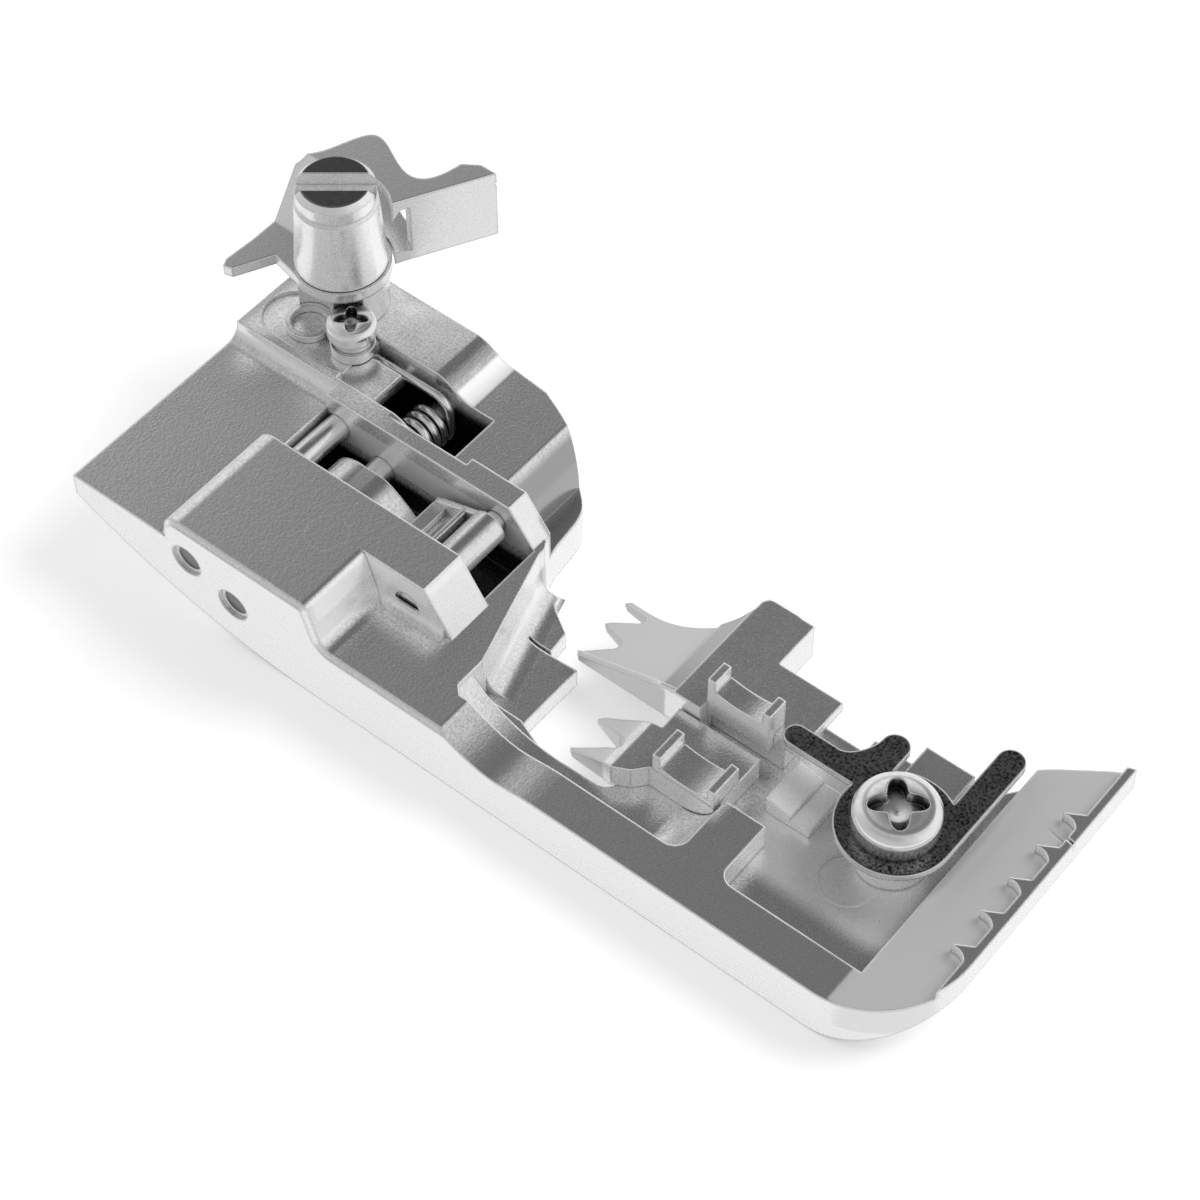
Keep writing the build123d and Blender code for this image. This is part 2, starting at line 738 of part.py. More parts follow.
with BuildPart() as far_finger_plate:
    # Side profile of the scoop
    with BuildSketch(side(far_ridge_y)):
        Polygon(
            (finger_tip_x, finger_tip_z - finger_thick),
            (finger_tip_x, finger_tip_z - 0.2),
            (scoop_crease_x, scoop_rear_z),
            (scoop_crease_x, scoop_crease_z),
            (far_plate_rear_x, finger_top_z),
            (far_body_front_x, finger_top_z),
            (far_body_front_x, floor_z),
            (finger_tip_x, floor_z),
            align=None,
        )
    extrude(amount=-spread)
    # Raised ridge along the near edge
    with BuildSketch(side(far_ridge_y)):
        with BuildLine():
            Polyline((finger_tip_x, finger_tip_z), (finger_tip_x, floor_z), (ridge_end_x, floor_z), (ridge_end_x, finger_top_z))
            Spline(
                (ridge_end_x, finger_top_z),
                (1.6, 4.35),
                (finger_tip_x, finger_tip_z),
                tangents=[(-1, -0.2), (-1, -0.25)],
            )
        make_face()
    extrude(amount=-far_ridge_wide)
    # Outline of fingers and body seen from above
    with BuildSketch(level(floor_z)):
        with BuildLine():
            Polyline(
                (guide_clip_rear_x, far_ridge_y),
                (finger_tip_x + 0.4, far_ridge_y),
                (finger_tip_x + 0.1, far_ridge_y + 0.25),
                (finger_tip_x + 0.4, far_ridge_y + 0.6),
            )
            Line((finger_tip_x + 0.4, far_ridge_y + 0.6), (root_x - 0.3, far_ridge_y + 1.7))
            ThreePointArc(
                (root_x - 0.3, far_ridge_y + 1.7),
                (root_x, far_ridge_y + 2.3),
                (root_x - 0.5, far_ridge_y + 2.7),
            )
            Line((root_x - 0.5, far_ridge_y + 2.7), (finger_tip_x + 0.4, far_ridge_y + 3.1))
            Line((finger_tip_x + 0.4, far_ridge_y + 3.1), (finger_tip_x, far_ridge_y + 3.4))
            Line((finger_tip_x, far_ridge_y + 3.4), (finger_tip_x + 0.4, far_ridge_y + 3.75))
            Line((finger_tip_x + 0.4, far_ridge_y + 3.75), (root_x - 0.3, far_ridge_y + 4.5))
            ThreePointArc(
                (root_x - 0.3, far_ridge_y + 4.5),
                (root_x, far_ridge_y + 4.9),
                (root_x - 0.3, far_ridge_y + 5.2),
            )
            Line((root_x - 0.3, far_ridge_y + 5.2), (finger_tip_x + 0.4, far_ridge_y + 5.4))
            Line((finger_tip_x + 0.4, far_ridge_y + 5.4), (finger_tip_x, far_ridge_y + 5.65))
            Line((finger_tip_x, far_ridge_y + 5.65), (finger_tip_x + 0.4, far_ridge_y + 5.95))
            Spline(
                (finger_tip_x + 0.4, far_ridge_y + 5.95),
                (finger_tip_x + 4.2, far_ridge_y + 5.7),
                (finger_tip_x + 6.0, far_ridge_y + 6.3),
                (far_plate_rear_x - 0.7, far_ridge_y + 7.7),
                (far_plate_rear_x + 0.3, far_lobe_y - 0.06),
                tangents=[(1, -0.15), (0.25, 1)],
            )
            Polyline(
                (far_plate_rear_x + 0.3, far_lobe_y - 0.06),
                (far_lobe_x, far_lobe_y - 0.06),
                (far_lobe_x, insert_seat_far_y - 0.1),
                (far_body_front_x, insert_seat_far_y - 0.1),
                (far_body_front_x, far_clip_body_y),
                (guide_clip_rear_x, far_clip_body_y),
                (guide_clip_rear_x, far_ridge_y),
            )
        make_face()
    extrude(amount=spread, mode=Mode.INTERSECT)
    # Plate that overhangs the body
    with BuildSketch(level(finger_top_z - overhang_thick)):
        with BuildLine():
            Line((far_plate_rear_x, far_ridge_y + 0.3), (far_plate_rear_x, far_lobe_y - 0.76))
            RadiusArc(
                (far_plate_rear_x, far_lobe_y - 0.76),
                (far_plate_rear_x + 0.76, far_lobe_y),
                0.76,
            )
            Line((far_plate_rear_x + 0.76, far_lobe_y), (far_lobe_x - far_lobe_r, far_lobe_y))
            RadiusArc((far_lobe_x - far_lobe_r, far_lobe_y), (far_lobe_x, far_lobe_y - far_lobe_r), far_lobe_r)
            Polyline(
                (far_lobe_x, far_lobe_y - far_lobe_r),
                (far_lobe_x, far_step_y),
                (far_plate_end_x, far_step_y),
                (far_plate_end_x, far_clip_body_y),
                (guide_clip_rear_x - press_gap, far_clip_body_y),
                (guide_clip_rear_x - press_gap, far_ridge_y + 0.3),
                (far_plate_rear_x, far_ridge_y + 0.3),
            )
        make_face()
    extrude(amount=overhang_thick)
    # Threads of the screws from below
    with BuildSketch(level(floor_z)):
        with Locations(*insert_screw_places):
            Circle(insert_screw_d / 2 + press_gap)
    extrude(amount=insert_thread_h, mode=Mode.SUBTRACT)

# Near finger plate: two stitch fingers on a low base
near_rib_z = near_clip_floor_z - ear_thick
with BuildPart() as near_finger_plate:
    with BuildSketch(side(near_base_near_y)):
        with BuildLine():
            Line((near_tip_x, floor_z + 0.1), (near_tip_x, floor_z + 0.5))
            Spline(
                (near_tip_x, floor_z + 0.5),
                (guide_clip_rear_x - 2.3, near_rib_z),
                tangents=[(1, 0.35), (1, 0.2)],
            )
            Polyline(
                (guide_clip_rear_x - 2.3, near_rib_z),
                (near_base_front_x, near_rib_z),
                (near_base_front_x, floor_z),
                (near_tip_x, floor_z),
                (near_tip_x, floor_z + 0.1),
            )
        make_face()
    extrude(amount=-(near_base_far_y - near_base_near_y))
    with BuildSketch(level(floor_z)):
        with BuildLine():
            Polyline(
                (near_base_front_x, near_base_far_y),
                (guide_clip_rear_x - 1.6, near_base_far_y),
                (guide_clip_rear_x - 1.6, 0.35),
            )
            Spline(
                (guide_clip_rear_x - 1.6, 0.35),
                (near_tip_x + 1.6, -0.35),
                (near_tip_x, -0.95),
                tangents=[(-1, -0.05), (-0.6, -1)],
            )
            Line((near_tip_x, -0.95), (near_tip_x + 2.6, -1.8))
            ThreePointArc((near_tip_x + 2.6, -1.8), (near_tip_x + 3.2, -2.4), (near_tip_x + 2.6, -2.9))
            Line((near_tip_x + 2.6, -2.9), (near_tip_x, -3.9))
            Polyline(
                (near_tip_x, -3.9),
                (near_tip_x + 0.4, near_base_near_y + 0.15),
                (near_tip_x + 3.8, near_base_near_y),
                (near_tip_x + 5.0, near_base_near_y + 0.6),
                (near_tip_x + 5.8, near_clip_near_y),
                (near_base_front_x, near_clip_near_y),
                (near_base_front_x, near_base_far_y),
            )
        make_face()
    extrude(amount=spread, mode=Mode.INTERSECT)
    # Threads of the screws from below
    with BuildSketch(level(floor_z)):
        with Locations(*insert_screw_places):
            Circle(insert_screw_d / 2 + press_gap)
    extrude(amount=insert_thread_h, mode=Mode.SUBTRACT)

# Folded thread guides on the two finger plates
with BuildPart() as far_thread_guide:
    with BuildSketch(side(far_clip_near_y)):
        with BuildLine():
            Polyline(
                (guide_clip_rear_x, finger_top_z),
                (guide_clip_rear_x, far_clip_floor_z + ear_height),
                (guide_clip_rear_x + ear_thick, far_clip_floor_z + ear_height),
                (guide_clip_rear_x + ear_thick, far_clip_floor_z),
            )
            ThreePointArc(
                (guide_clip_rear_x + ear_thick, far_clip_floor_z),
                (guide_clip_rear_x + guide_clip_length / 2, far_clip_floor_z - clip_dip),
                (clip_front_x - ear_thick, far_clip_floor_z),
            )
            Polyline(
                (clip_front_x - ear_thick, far_clip_floor_z),
                (clip_front_x - ear_thick, far_clip_floor_z + ear_height),
                (clip_front_x, far_clip_floor_z + ear_height),
                (clip_front_x, finger_top_z),
                (guide_clip_rear_x, finger_top_z),
            )
        make_face()
    extrude(amount=-far_clip_wide)
    with BuildSketch(side(far_clip_near_y)):
        with Locations((guide_clip_rear_x, near_rib_z)):
            Rectangle(guide_clip_length, finger_top_z - near_rib_z, align=Align.MIN)
    extrude(amount=-ear_thick)

with BuildPart() as near_thread_guide:
    with BuildSketch(side(near_clip_near_y)):
        with BuildLine():
            Polyline(
                (guide_clip_rear_x, near_rib_z),
                (guide_clip_rear_x, near_clip_floor_z + ear_height),
                (guide_clip_rear_x + ear_thick, near_clip_floor_z + ear_height),
                (guide_clip_rear_x + ear_thick, near_clip_floor_z),
            )
            ThreePointArc(
                (guide_clip_rear_x + ear_thick, near_clip_floor_z),
                (guide_clip_rear_x + guide_clip_length / 2, near_clip_floor_z - clip_dip),
                (clip_front_x - ear_thick, near_clip_floor_z),
            )
            Polyline(
                (clip_front_x - ear_thick, near_clip_floor_z),
                (clip_front_x - ear_thick, near_clip_floor_z + ear_height),
                (clip_front_x, near_clip_floor_z + ear_height),
                (clip_front_x, near_rib_z),
                (guide_clip_rear_x, near_rib_z),
            )
        make_face()
    extrude(amount=-near_clip_wide)

# Headless slotted screws that hold the finger plates from below
with BuildPart() as insert_screws:
    with BuildSketch(level(insert_sink)):
        with Locations(*insert_screw_places):
            Circle(insert_screw_d / 2)
    extrude(amount=floor_z + insert_thread_h - face_gap - insert_sink)
    with BuildSketch(level(insert_sink)):
        with Locations(*insert_screw_places):
            Rectangle(insert_screw_d, insert_slot)
    extrude(amount=insert_slot, mode=Mode.SUBTRACT)

# Stop block beside the guide
stop_top_z = floor_z + stop_height
stop_front_x = stop_rear_x + stop_length
with BuildPart() as guide_stop:
    with BuildSketch(side(stop_near_y)):
        Polygon(
            (stop_rear_x, floor_z),
            (stop_rear_x, stop_top_z),
            (stop_front_x - stop_strip, stop_top_z - 0.6 * stop_fall),
            (stop_front_x - stop_strip, stop_top_z - stop_fall),
            (stop_front_x, stop_top_z - stop_fall),
            (stop_front_x, floor_z),
            align=None,
        )
    extrude(amount=-stop_wide)

# Forked guide of dark sheet
fork_edge_x = guide_x + guide_fork_x + guide_fork_wide / 2
fork_end_y = guide_y + guide_fork_reach - 0.8
with BuildPart() as tape_guide:
    with BuildSketch(level(guide_seat_z)):
        with Locations((guide_x, guide_y)):
            Circle(guide_ring_r)
        # Finger pointing to the needle, with the fork beside it
        with Locations((guide_x, guide_y + 1.6)):
            SlotCenterToCenter(2 * (guide_finger_reach - guide_finger_wide / 2), guide_finger_wide)
        with Locations((guide_x, guide_y + 1.6)):
            Rectangle(guide_finger_reach, 3, align=(Align.MIN, Align.CENTER), mode=Mode.SUBTRACT)
        with Locations((guide_x, guide_y)):
            Circle(guide_ring_r)
        with BuildLine():
            Polyline(
                (guide_x - 6.6, guide_y + 2.4),
                (guide_x + guide_fork_x, guide_y + 0.9),
                (fork_edge_x, guide_y + 2.0),
                (fork_edge_x, fork_end_y),
            )
            ThreePointArc(
                (fork_edge_x, fork_end_y),
                (guide_x + guide_fork_x, guide_y + guide_fork_reach),
                (fork_edge_x - guide_fork_wide, fork_end_y),
            )
            Spline(
                (fork_edge_x - guide_fork_wide, fork_end_y),
                (fork_edge_x - guide_fork_wide - 0.6, guide_y + 3.3),
                (guide_x - 6.6, guide_y + 2.4),
                tangents=[(0, -1), (-1, -0.02)],
            )
        make_face()
        # Long arm towards the far side
        with Locations((guide_x + guide_arm_x, guide_y)):
            SlotCenterToCenter(2 * (guide_arm_reach - guide_arm_wide / 2), guide_arm_wide, rotation=90)
        with Locations((guide_x + guide_arm_x, guide_y)):
            Rectangle(3, guide_arm_reach, align=(Align.CENTER, Align.MAX), mode=Mode.SUBTRACT)
        with Locations((guide_x, guide_y)):
            Circle(guide_ring_r)
            Circle(guide_screw_d / 2 + 0.15, mode=Mode.SUBTRACT)
    extrude(amount=guide_thick)

# Pan head screw that clamps the guide
guide_head_z = guide_top_z + guide_head_h
with BuildPart() as guide_screw:
    with BuildSketch(Plane.XZ):
        Polygon(
            (0, floor_z + 0.6),
            (guide_screw_d / 2 - 0.3, floor_z + 0.6),
            (guide_screw_d / 2, floor_z + 0.9),
            (guide_screw_d / 2, guide_top_z),
            (guide_head_d / 2, guide_top_z),
            (guide_head_d / 2, guide_head_z - guide_head_round),
            (guide_head_d / 2 - 0.2 * guide_head_round, guide_head_z - 0.4 * guide_head_round),
            (guide_head_d / 2 - 0.6 * guide_head_round, guide_head_z - 0.08 * guide_head_round),
            (guide_head_d / 2 - guide_head_round, guide_head_z),
            (0, guide_head_z),
            align=None,
        )
    revolve(axis=Axis.Z)
    # Cross recess, its arms growing narrower downwards
    with BuildSketch(level(guide_head_z)):
        Rectangle(recess_long, recess_wide, rotation=post_slot_angle)
        Rectangle(recess_wide, recess_long, rotation=post_slot_angle)
    extrude(amount=-recess_deep, taper=14, mode=Mode.SUBTRACT)
guide_screw_placed = Pos(guide_x, guide_y, 0) * guide_screw.part

# Cross pins of the head, the rear one grooved
with BuildPart() as rear_pin:
    with BuildSketch(side(near_y + pin_recess)):
        with Locations((rear_pin_x, rear_pin_z)):
            Circle(pin_d / 2)
    extrude(amount=near_y + pin_recess - pin_far_y)
    for count in range(groove_count):
        with BuildSketch(side(bay_near_y + 0.3 + count * groove_pitch)):
            with Locations((rear_pin_x, rear_pin_z)):
                Circle(pin_d / 2 + 1)
                Circle(pin_d / 2 - groove_depth, mode=Mode.SUBTRACT)
        extrude(amount=-groove_wide, mode=Mode.SUBTRACT)
with BuildPart() as hinge_pin:
    with BuildSketch(side(near_y + pin_recess)):
        with Locations((hinge_x, hinge_z)):
            Circle(pin_d / 2)
    extrude(amount=near_y + pin_recess - pin_far_y)
with BuildPart() as stop_pin:
    with BuildSketch(side(arm_near_y + 0.15)):
        with Locations((stop_pin_x, stop_pin_z)):
            Circle(stop_pin_d / 2)
    extrude(amount=arm_near_y + 0.3 - rail_far_y)

# Rocker on the hinge pin
with BuildPart() as rocker:
    with BuildSketch(side(bay_near_y + rocker_side_gap)):
        with BuildLine():
            ThreePointArc(
                (hinge_x + 0.4, hinge_z - rocker_hub_r),
                (hinge_x - rocker_hub_r, hinge_z),
                (hinge_x + 0.4, hinge_z + rocker_hub_r),
            )
            Line((hinge_x + 0.4, hinge_z + rocker_hub_r), (hinge_x + 1.6, hinge_z + rocker_hub_r))
            Spline(
                (hinge_x + 1.6, hinge_z + rocker_hub_r),
                (hinge_x + 3.6, hinge_z + 1.7),
                (hinge_x + rocker_nose_x, hinge_z - 0.6),
                tangents=[(1, 0), (0.6, -1)],
            )
            Polyline(
                (hinge_x + rocker_nose_x, hinge_z - 0.6),
                (hinge_x + rocker_nose_x - 0.4, hinge_z - 1.5),
                (hinge_x + 0.4, hinge_z - rocker_hub_r),
            )
        make_face()
        with Locations((hinge_x, hinge_z)):
            Circle(pin_d / 2 + running_gap, mode=Mode.SUBTRACT)
    extrude(amount=-rocker_wide)

# Link frame hung on the stop pin: two cheeks, a cross tube and a bent foot
link_near_y = bay_near_y + 0.4
with BuildPart() as link_frame:
    with BuildSketch(side(link_near_y)):
        with Locations((stop_pin_x, stop_pin_z)):
            Circle(link_tube_r)
            Circle(stop_pin_d / 2 + press_gap, mode=Mode.SUBTRACT)
    extrude(amount=-link_wide)
    for cheek_y in (link_near_y, link_near_y + link_wide - link_wall):
        with BuildSketch(side(cheek_y)):
            Polygon(
                (stop_pin_x - 0.3, stop_pin_z + 1.2),
                (stop_pin_x - link_length, stop_pin_z - 0.3),
                (stop_pin_x - link_length, stop_pin_z - 2.4),
                (stop_pin_x - 0.6, stop_pin_z - 1.2),
                align=None,
            )
            with Locations((stop_pin_x, stop_pin_z)):
                Circle(stop_pin_d / 2 + press_gap, mode=Mode.SUBTRACT)
        extrude(amount=-link_wall)
    # Stepped cross bar at the rear, and the thin bar before the tube
    with BuildSketch(side(link_near_y)):
        with Locations((stop_pin_x - link_length + 0.5, stop_pin_z - 1.35)):
            Rectangle(1.1, 1.9)
        with Locations((stop_pin_x - link_length + 1.6, stop_pin_z - 1.5)):
            Rectangle(1.2, 1.0)
        with Locations((stop_pin_x - 1.9, stop_pin_z + 0.2)):
            Rectangle(0.35, 0.9)
    extrude(amount=-link_wide)

# Torsion spring on the far end of the hinge pin
spring_r = pin_d / 2 + spring_clear + spring_wire / 2
spring_near_y = spring_bay_near_y + spring_near_gap
leg_y = spring_near_y + spring_pitch * spring_turns
leg_z = rear_pin_z + pin_d / 2 + press_gap + spring_wire / 2
leg_front_x = hinge_x + spring_r
with BuildPart() as torsion_spring:
    coil_plane = Plane((hinge_x, leg_y, hinge_z), x_dir=(1, 0, 0), z_dir=(0, -1, 0))
    coil_path = coil_plane * Helix(spring_pitch, spring_pitch * spring_turns, spring_r, lefthand=True)
    with BuildSketch(Plane(coil_path @ 0, z_dir=coil_path % 0)):
        RegularPolygon(spring_wire / 2, wire_sides)
    sweep(path=coil_path, is_frenet=True)
    # Leg that lies on the rear pin
    with BuildLine(Plane.XZ.offset(-leg_y)) as leg_path:
        Line((spring_bay_rear_x + face_gap, leg_z), (leg_front_x - spring_bend_r, leg_z))
        RadiusArc((leg_front_x - spring_bend_r, leg_z), (leg_front_x, leg_z - spring_bend_r), spring_bend_r)
        Line((leg_front_x, leg_z - spring_bend_r), (leg_front_x, hinge_z))
    with BuildSketch(Plane(leg_path.line @ 0, z_dir=leg_path.line % 0)):
        RegularPolygon(spring_wire / 2, wire_sides)
    sweep(path=leg_path.line)

# Small sheet cover over the rear of the spring bay
cover_z = plateau_z - cover_depth - cover_thick
with BuildPart() as spring_cover:
    with BuildSketch(side(spring_bay_near_y + press_gap)):
        Polygon(
            (spring_bay_rear_x + press_gap, spring_bay_floor_z),
            (spring_bay_rear_x + press_gap, cover_z + cover_thick),
            (spring_bay_rear_x + cover_length, cover_z + cover_thick),
            (spring_bay_rear_x + cover_length, cover_z),
            (spring_bay_rear_x + press_gap + cover_leg, cover_z),
            (spring_bay_rear_x + press_gap + cover_leg, spring_bay_floor_z),
            align=None,
        )
    extrude(amount=-(cover_wide - press_gap))

# Clamp plate with its eye, screw and spacer on the plateau
clamp_seat_z = plateau_z - spot_face_depth
with BuildPart() as clamp_plate:
    with BuildSketch(level(clamp_seat_z)):
        with Locations((clamp_screw_x - clamp_plate_reach, clamp_screw_y - 0.3)):
            Circle(clamp_plate_r)
            Circle(clamp_eye_d, mode=Mode.SUBTRACT)
    extrude(amount=clamp_plate_thick)

with BuildPart() as screw_spacer:
    for radius, base, height in (
        (clamp_washer_d / 2, clamp_seat_z, 0.9),
        (clamp_washer_d / 2 - 0.3, clamp_seat_z + 0.9, clamp_washer_h - 0.2),
    ):
        with BuildSketch(level(base)):
            with Locations((clamp_screw_x, clamp_screw_y)):
                Circle(radius)
                Circle(clamp_shank_d / 2 + press_gap, mode=Mode.SUBTRACT)
        extrude(amount=height)

clamp_head_z = clamp_seat_z + clamp_washer_h + 0.7
with BuildPart() as adjusting_screw:
    with BuildSketch(Plane.XZ):
        with BuildLine():
            Polyline(
                (0, plateau_z - 2.5),
                (clamp_shank_d / 2, plateau_z - 2.5),
                (clamp_shank_d / 2, clamp_head_z),
                (clamp_head_d / 2, clamp_head_z),
                (clamp_head_d / 2, clamp_head_z + 0.7),
                (clamp_head_d / 2 - 0.2, clamp_head_z + 1.1),
                (clamp_head_d / 2 - 0.6, clamp_head_z + 1.4),
                (0, clamp_head_z + 1.4),
                (0, plateau_z - 2.5),
            )
        make_face()
    revolve(axis=Axis.Z)
    with BuildSketch(level(clamp_head_z + 1.4)):
        Rectangle(clamp_recess_long, clamp_recess_wide, rotation=post_slot_angle)
        Rectangle(clamp_recess_wide, clamp_recess_long, rotation=post_slot_angle)
    extrude(amount=-0.7, mode=Mode.SUBTRACT)
adjusting_screw_placed = Pos(clamp_screw_x, clamp_screw_y, 0) * adjusting_screw.part

# Pedestal, lever and post
with BuildPart() as post_pedestal:
    with BuildSketch(level(plateau_z)):
        with Locations((post_x, post_y)):
            Circle(pedestal_r)
            Circle(post_stem_r + press_gap, mode=Mode.SUBTRACT)
        with Locations((clamp_screw_x - clamp_plate_reach, clamp_screw_y - 0.3)):
            Circle(clamp_plate_r + press_gap, mode=Mode.SUBTRACT)
        with Locations((clamp_screw_x, clamp_screw_y)):
            Circle(clamp_head_d / 2 + press_gap, mode=Mode.SUBTRACT)
    extrude(amount=pedestal_top_z - plateau_z)

with BuildPart() as lever_post:
    with BuildSketch(Plane.XZ):
        Polygon(
            (0, plateau_z - post_stem_depth),
            (post_stem_r, plateau_z - post_stem_depth),
            (post_stem_r, post_base_z),
            (post_base_r, post_base_z),
            (post_top_r + 0.1, post_top_z - post_band - 0.4),
            (post_top_r - post_groove, post_top_z - post_band - 0.2),
            (post_top_r, post_top_z - post_band),
            (post_top_r, post_top_z - post_chamfer),
            (post_top_r - post_chamfer, post_top_z),
            (0, post_top_z),
            align=None,
        )
    revolve(axis=Axis.Z)
    with BuildSketch(level(post_top_z)):
        Rectangle(3 * post_top_r, post_slot_wide, rotation=post_slot_angle)
    extrude(amount=-post_slot_deep, mode=Mode.SUBTRACT)
lever_post_placed = Pos(post_x, post_y, 0) * lever_post.part

lever_rear_x = post_x - lever_reach
with BuildPart() as release_lever:
    with BuildSketch(level(lever_low_z)):
        with Locations((post_x, post_y)):
            Circle(lever_eye_r)
        Polygon(
            (post_x, post_y - lever_eye_r),
            (post_x - 0.67 * finger_reach, post_y - 0.47 * finger_reach),
            (post_x - 0.93 * finger_reach, post_y - 0.97 * finger_reach),
            (post_x - 1.05 * finger_reach, post_y - finger_reach),
            (post_x - 1.1 * finger_reach, post_y - 0.9 * finger_reach),
            (lever_rear_x, post_y - 0.43 * finger_reach),
            (lever_rear_x, post_y + 0.1),
            (post_x, post_y),
            align=None,
        )
        with Locations((post_x, post_y)):
            Circle(post_stem_r + running_gap, mode=Mode.SUBTRACT)
    extrude(amount=lever_thick)
    with BuildSketch(Plane.YZ.offset(lever_rear_x)):
        Polygon(
            (post_y - 0.7, lever_low_z),
            (post_y + 0.1, lever_low_z),
            (post_y + 3.1, lever_high_z - lever_thick),
            (post_y + 10.5, lever_high_z - lever_thick),
            (post_y + 10.5, lever_high_z),
            (post_y + 2.7, lever_high_z),
            (post_y - 0.3, eye_top_z),
            (post_y - 0.7, eye_top_z),
            align=None,
        )
    joggle = extrude(amount=spread, mode=Mode.PRIVATE)
    with BuildSketch(level(lever_low_z)) as lobe:
        with BuildLine():
            Line((lever_rear_x, post_y - 0.7), (lever_rear_x + 0.3, post_y + 2.1))
            Spline(
                (lever_rear_x + 0.3, post_y + 2.1),
                (lever_rear_x + 0.22 * lobe_reach, post_y + 0.47 * lobe_reach),
                (post_x - 0.3 * lobe_reach, post_y + 0.82 * lobe_reach),
                (post_x + 0.13 * lobe_reach, post_y + 0.66 * lobe_reach),
                (post_x + 0.46 * lobe_reach, post_y + lobe_reach),
            )
            Polyline(
                (post_x + 0.46 * lobe_reach, post_y + lobe_reach),
                (flange_x - 1.4, flange_y),
                (flange_x, flange_y),
                (flange_x - 3.84, flange_y - 6.94),
                (post_x, post_y),
                (lever_rear_x, post_y - 0.7),
            )
        make_face()
        with Locations((post_x, post_y)):
            Circle(post_base_r + 0.35, mode=Mode.SUBTRACT)
    add(joggle & extrude(lobe.sketch, amount=spread, mode=Mode.PRIVATE))
    # Flange bent down along the lobe's outer edge
    with BuildSketch(Plane((flange_x, flange_y, 0), x_dir=(-3.84, -6.94, 0), z_dir=(-6.94, 3.84, 0))):
        Polygon(
            (flange_length, lever_high_z - flange_drop),
            (flange_length, lever_high_z),
            (flange_round, lever_high_z),
            (0, lever_high_z - 1.2),
            (0, lever_high_z - flange_drop + flange_round),
            (1.2, lever_high_z - flange_drop),
            align=None,
        )
    extrude(amount=lever_thick)

for name, piece in (
    ("foot_casting", foot_casting.part),
    ("far_finger_plate", far_finger_plate.part),
    ("near_finger_plate", near_finger_plate.part),
    ("far_thread_guide", far_thread_guide.part),
    ("near_thread_guide", near_thread_guide.part),
    ("insert_screws", insert_screws.part),
    ("guide_stop", guide_stop.part),
    ("tape_guide", tape_guide.part),
    ("guide_screw", guide_screw_placed),
    ("rear_pin", rear_pin.part),
    ("hinge_pin", hinge_pin.part),
    ("stop_pin", stop_pin.part),
    ("rocker", rocker.part),
    ("link_frame", link_frame.part),
    ("torsion_spring", torsion_spring.part),
    ("spring_cover", spring_cover.part),
    ("clamp_plate", clamp_plate.part),
    ("adjusting_screw", adjusting_screw_placed),
    ("screw_spacer", screw_spacer.part),
    ("post_pedestal", post_pedestal.part),
    ("lever_post", lever_post_placed),
    ("release_lever", release_lever.part),
):
    piece.label = name
    export_step(piece, f"parts/{name}.step")
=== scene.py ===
import bpy, bmesh
from math import radians, sin, cos, pi
from mathutils import Vector, Matrix


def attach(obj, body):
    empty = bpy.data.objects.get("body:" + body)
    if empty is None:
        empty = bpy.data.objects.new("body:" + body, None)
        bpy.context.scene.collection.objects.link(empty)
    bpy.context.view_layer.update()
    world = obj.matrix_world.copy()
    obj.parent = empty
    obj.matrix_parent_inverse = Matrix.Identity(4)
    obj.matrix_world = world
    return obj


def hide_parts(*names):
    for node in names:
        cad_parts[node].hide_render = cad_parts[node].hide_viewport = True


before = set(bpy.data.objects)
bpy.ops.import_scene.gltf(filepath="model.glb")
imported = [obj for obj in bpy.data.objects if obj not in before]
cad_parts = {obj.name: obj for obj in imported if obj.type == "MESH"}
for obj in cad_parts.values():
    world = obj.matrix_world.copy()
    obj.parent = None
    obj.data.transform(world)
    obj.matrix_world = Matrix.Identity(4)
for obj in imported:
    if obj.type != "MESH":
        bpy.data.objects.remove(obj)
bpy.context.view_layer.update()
mm = 0.001

# camera: solved from the straight edges of the foot
cameraView = {
    "azimuth": 38.6,
    "elevation": 52.2,
    "lens": 96.0,
    "sensor": 36.0,
    "distance": 225.04 * mm,
    "target": (-6.07 * mm, 8.73 * mm, 0.0),
    "clipStart": 0.01,
}

# soft studio light: white all round, and a grey card behind and above that the flat tops reflect
studio = {
    "sky": 0.54,  # light on matt surfaces
    "backdrop": 1.0,  # what the camera sees behind the floor
    "mirrorColor": (0.8, 0.8, 0.8, 1.0),  # the sky that metal reflects
    "horizon": 1.0,  # its strength low down all round
    "zenith": 0.62,  # and straight above
    "skyFrom": 0.55,  # heights, as sines, where the sky starts to dim and is dimmest
    "skyFull": 0.95,
    "behind": 0.62,  # share of it left on the camera's own side
    "behindFrom": 0.10,  # the Y of the directions where that starts and is full
    "behindFull": -0.50,
    "card": 0.10,  # what metal reflects at the middle of the card
    "cardAim": (-0.13, 0.47, 0.87),
    "cardFrom": 0.80,  # cosines off the card's middle where it starts and is full
    "cardFull": 0.96,
}
keyLamp = {"place": (0.16, 0.26, 0.30), "size": 0.30, "power": 1.05}
fillLamp = {"place": (-0.32, -0.20, 0.24), "size": 0.40, "power": 0.25}

paleFloor = {
    "color": (0.90, 0.90, 0.90, 1.0),
    "glow": 0.30,  # keeps the open floor white and leaves the shadow
    "mirror": 0.94,  # what metal sees of it beside the part
    "mirrorFar": 0.62,  # and further off
    "mirrorFrom": 0.055,  # distances where it starts to dim and is dimmest
    "mirrorFull": 0.130,
    "size": 1.6,
}


def aim(obj, target):
    way = Vector(target) - obj.location
    obj.rotation_euler = way.to_track_quat("-Z", "Y").to_euler()


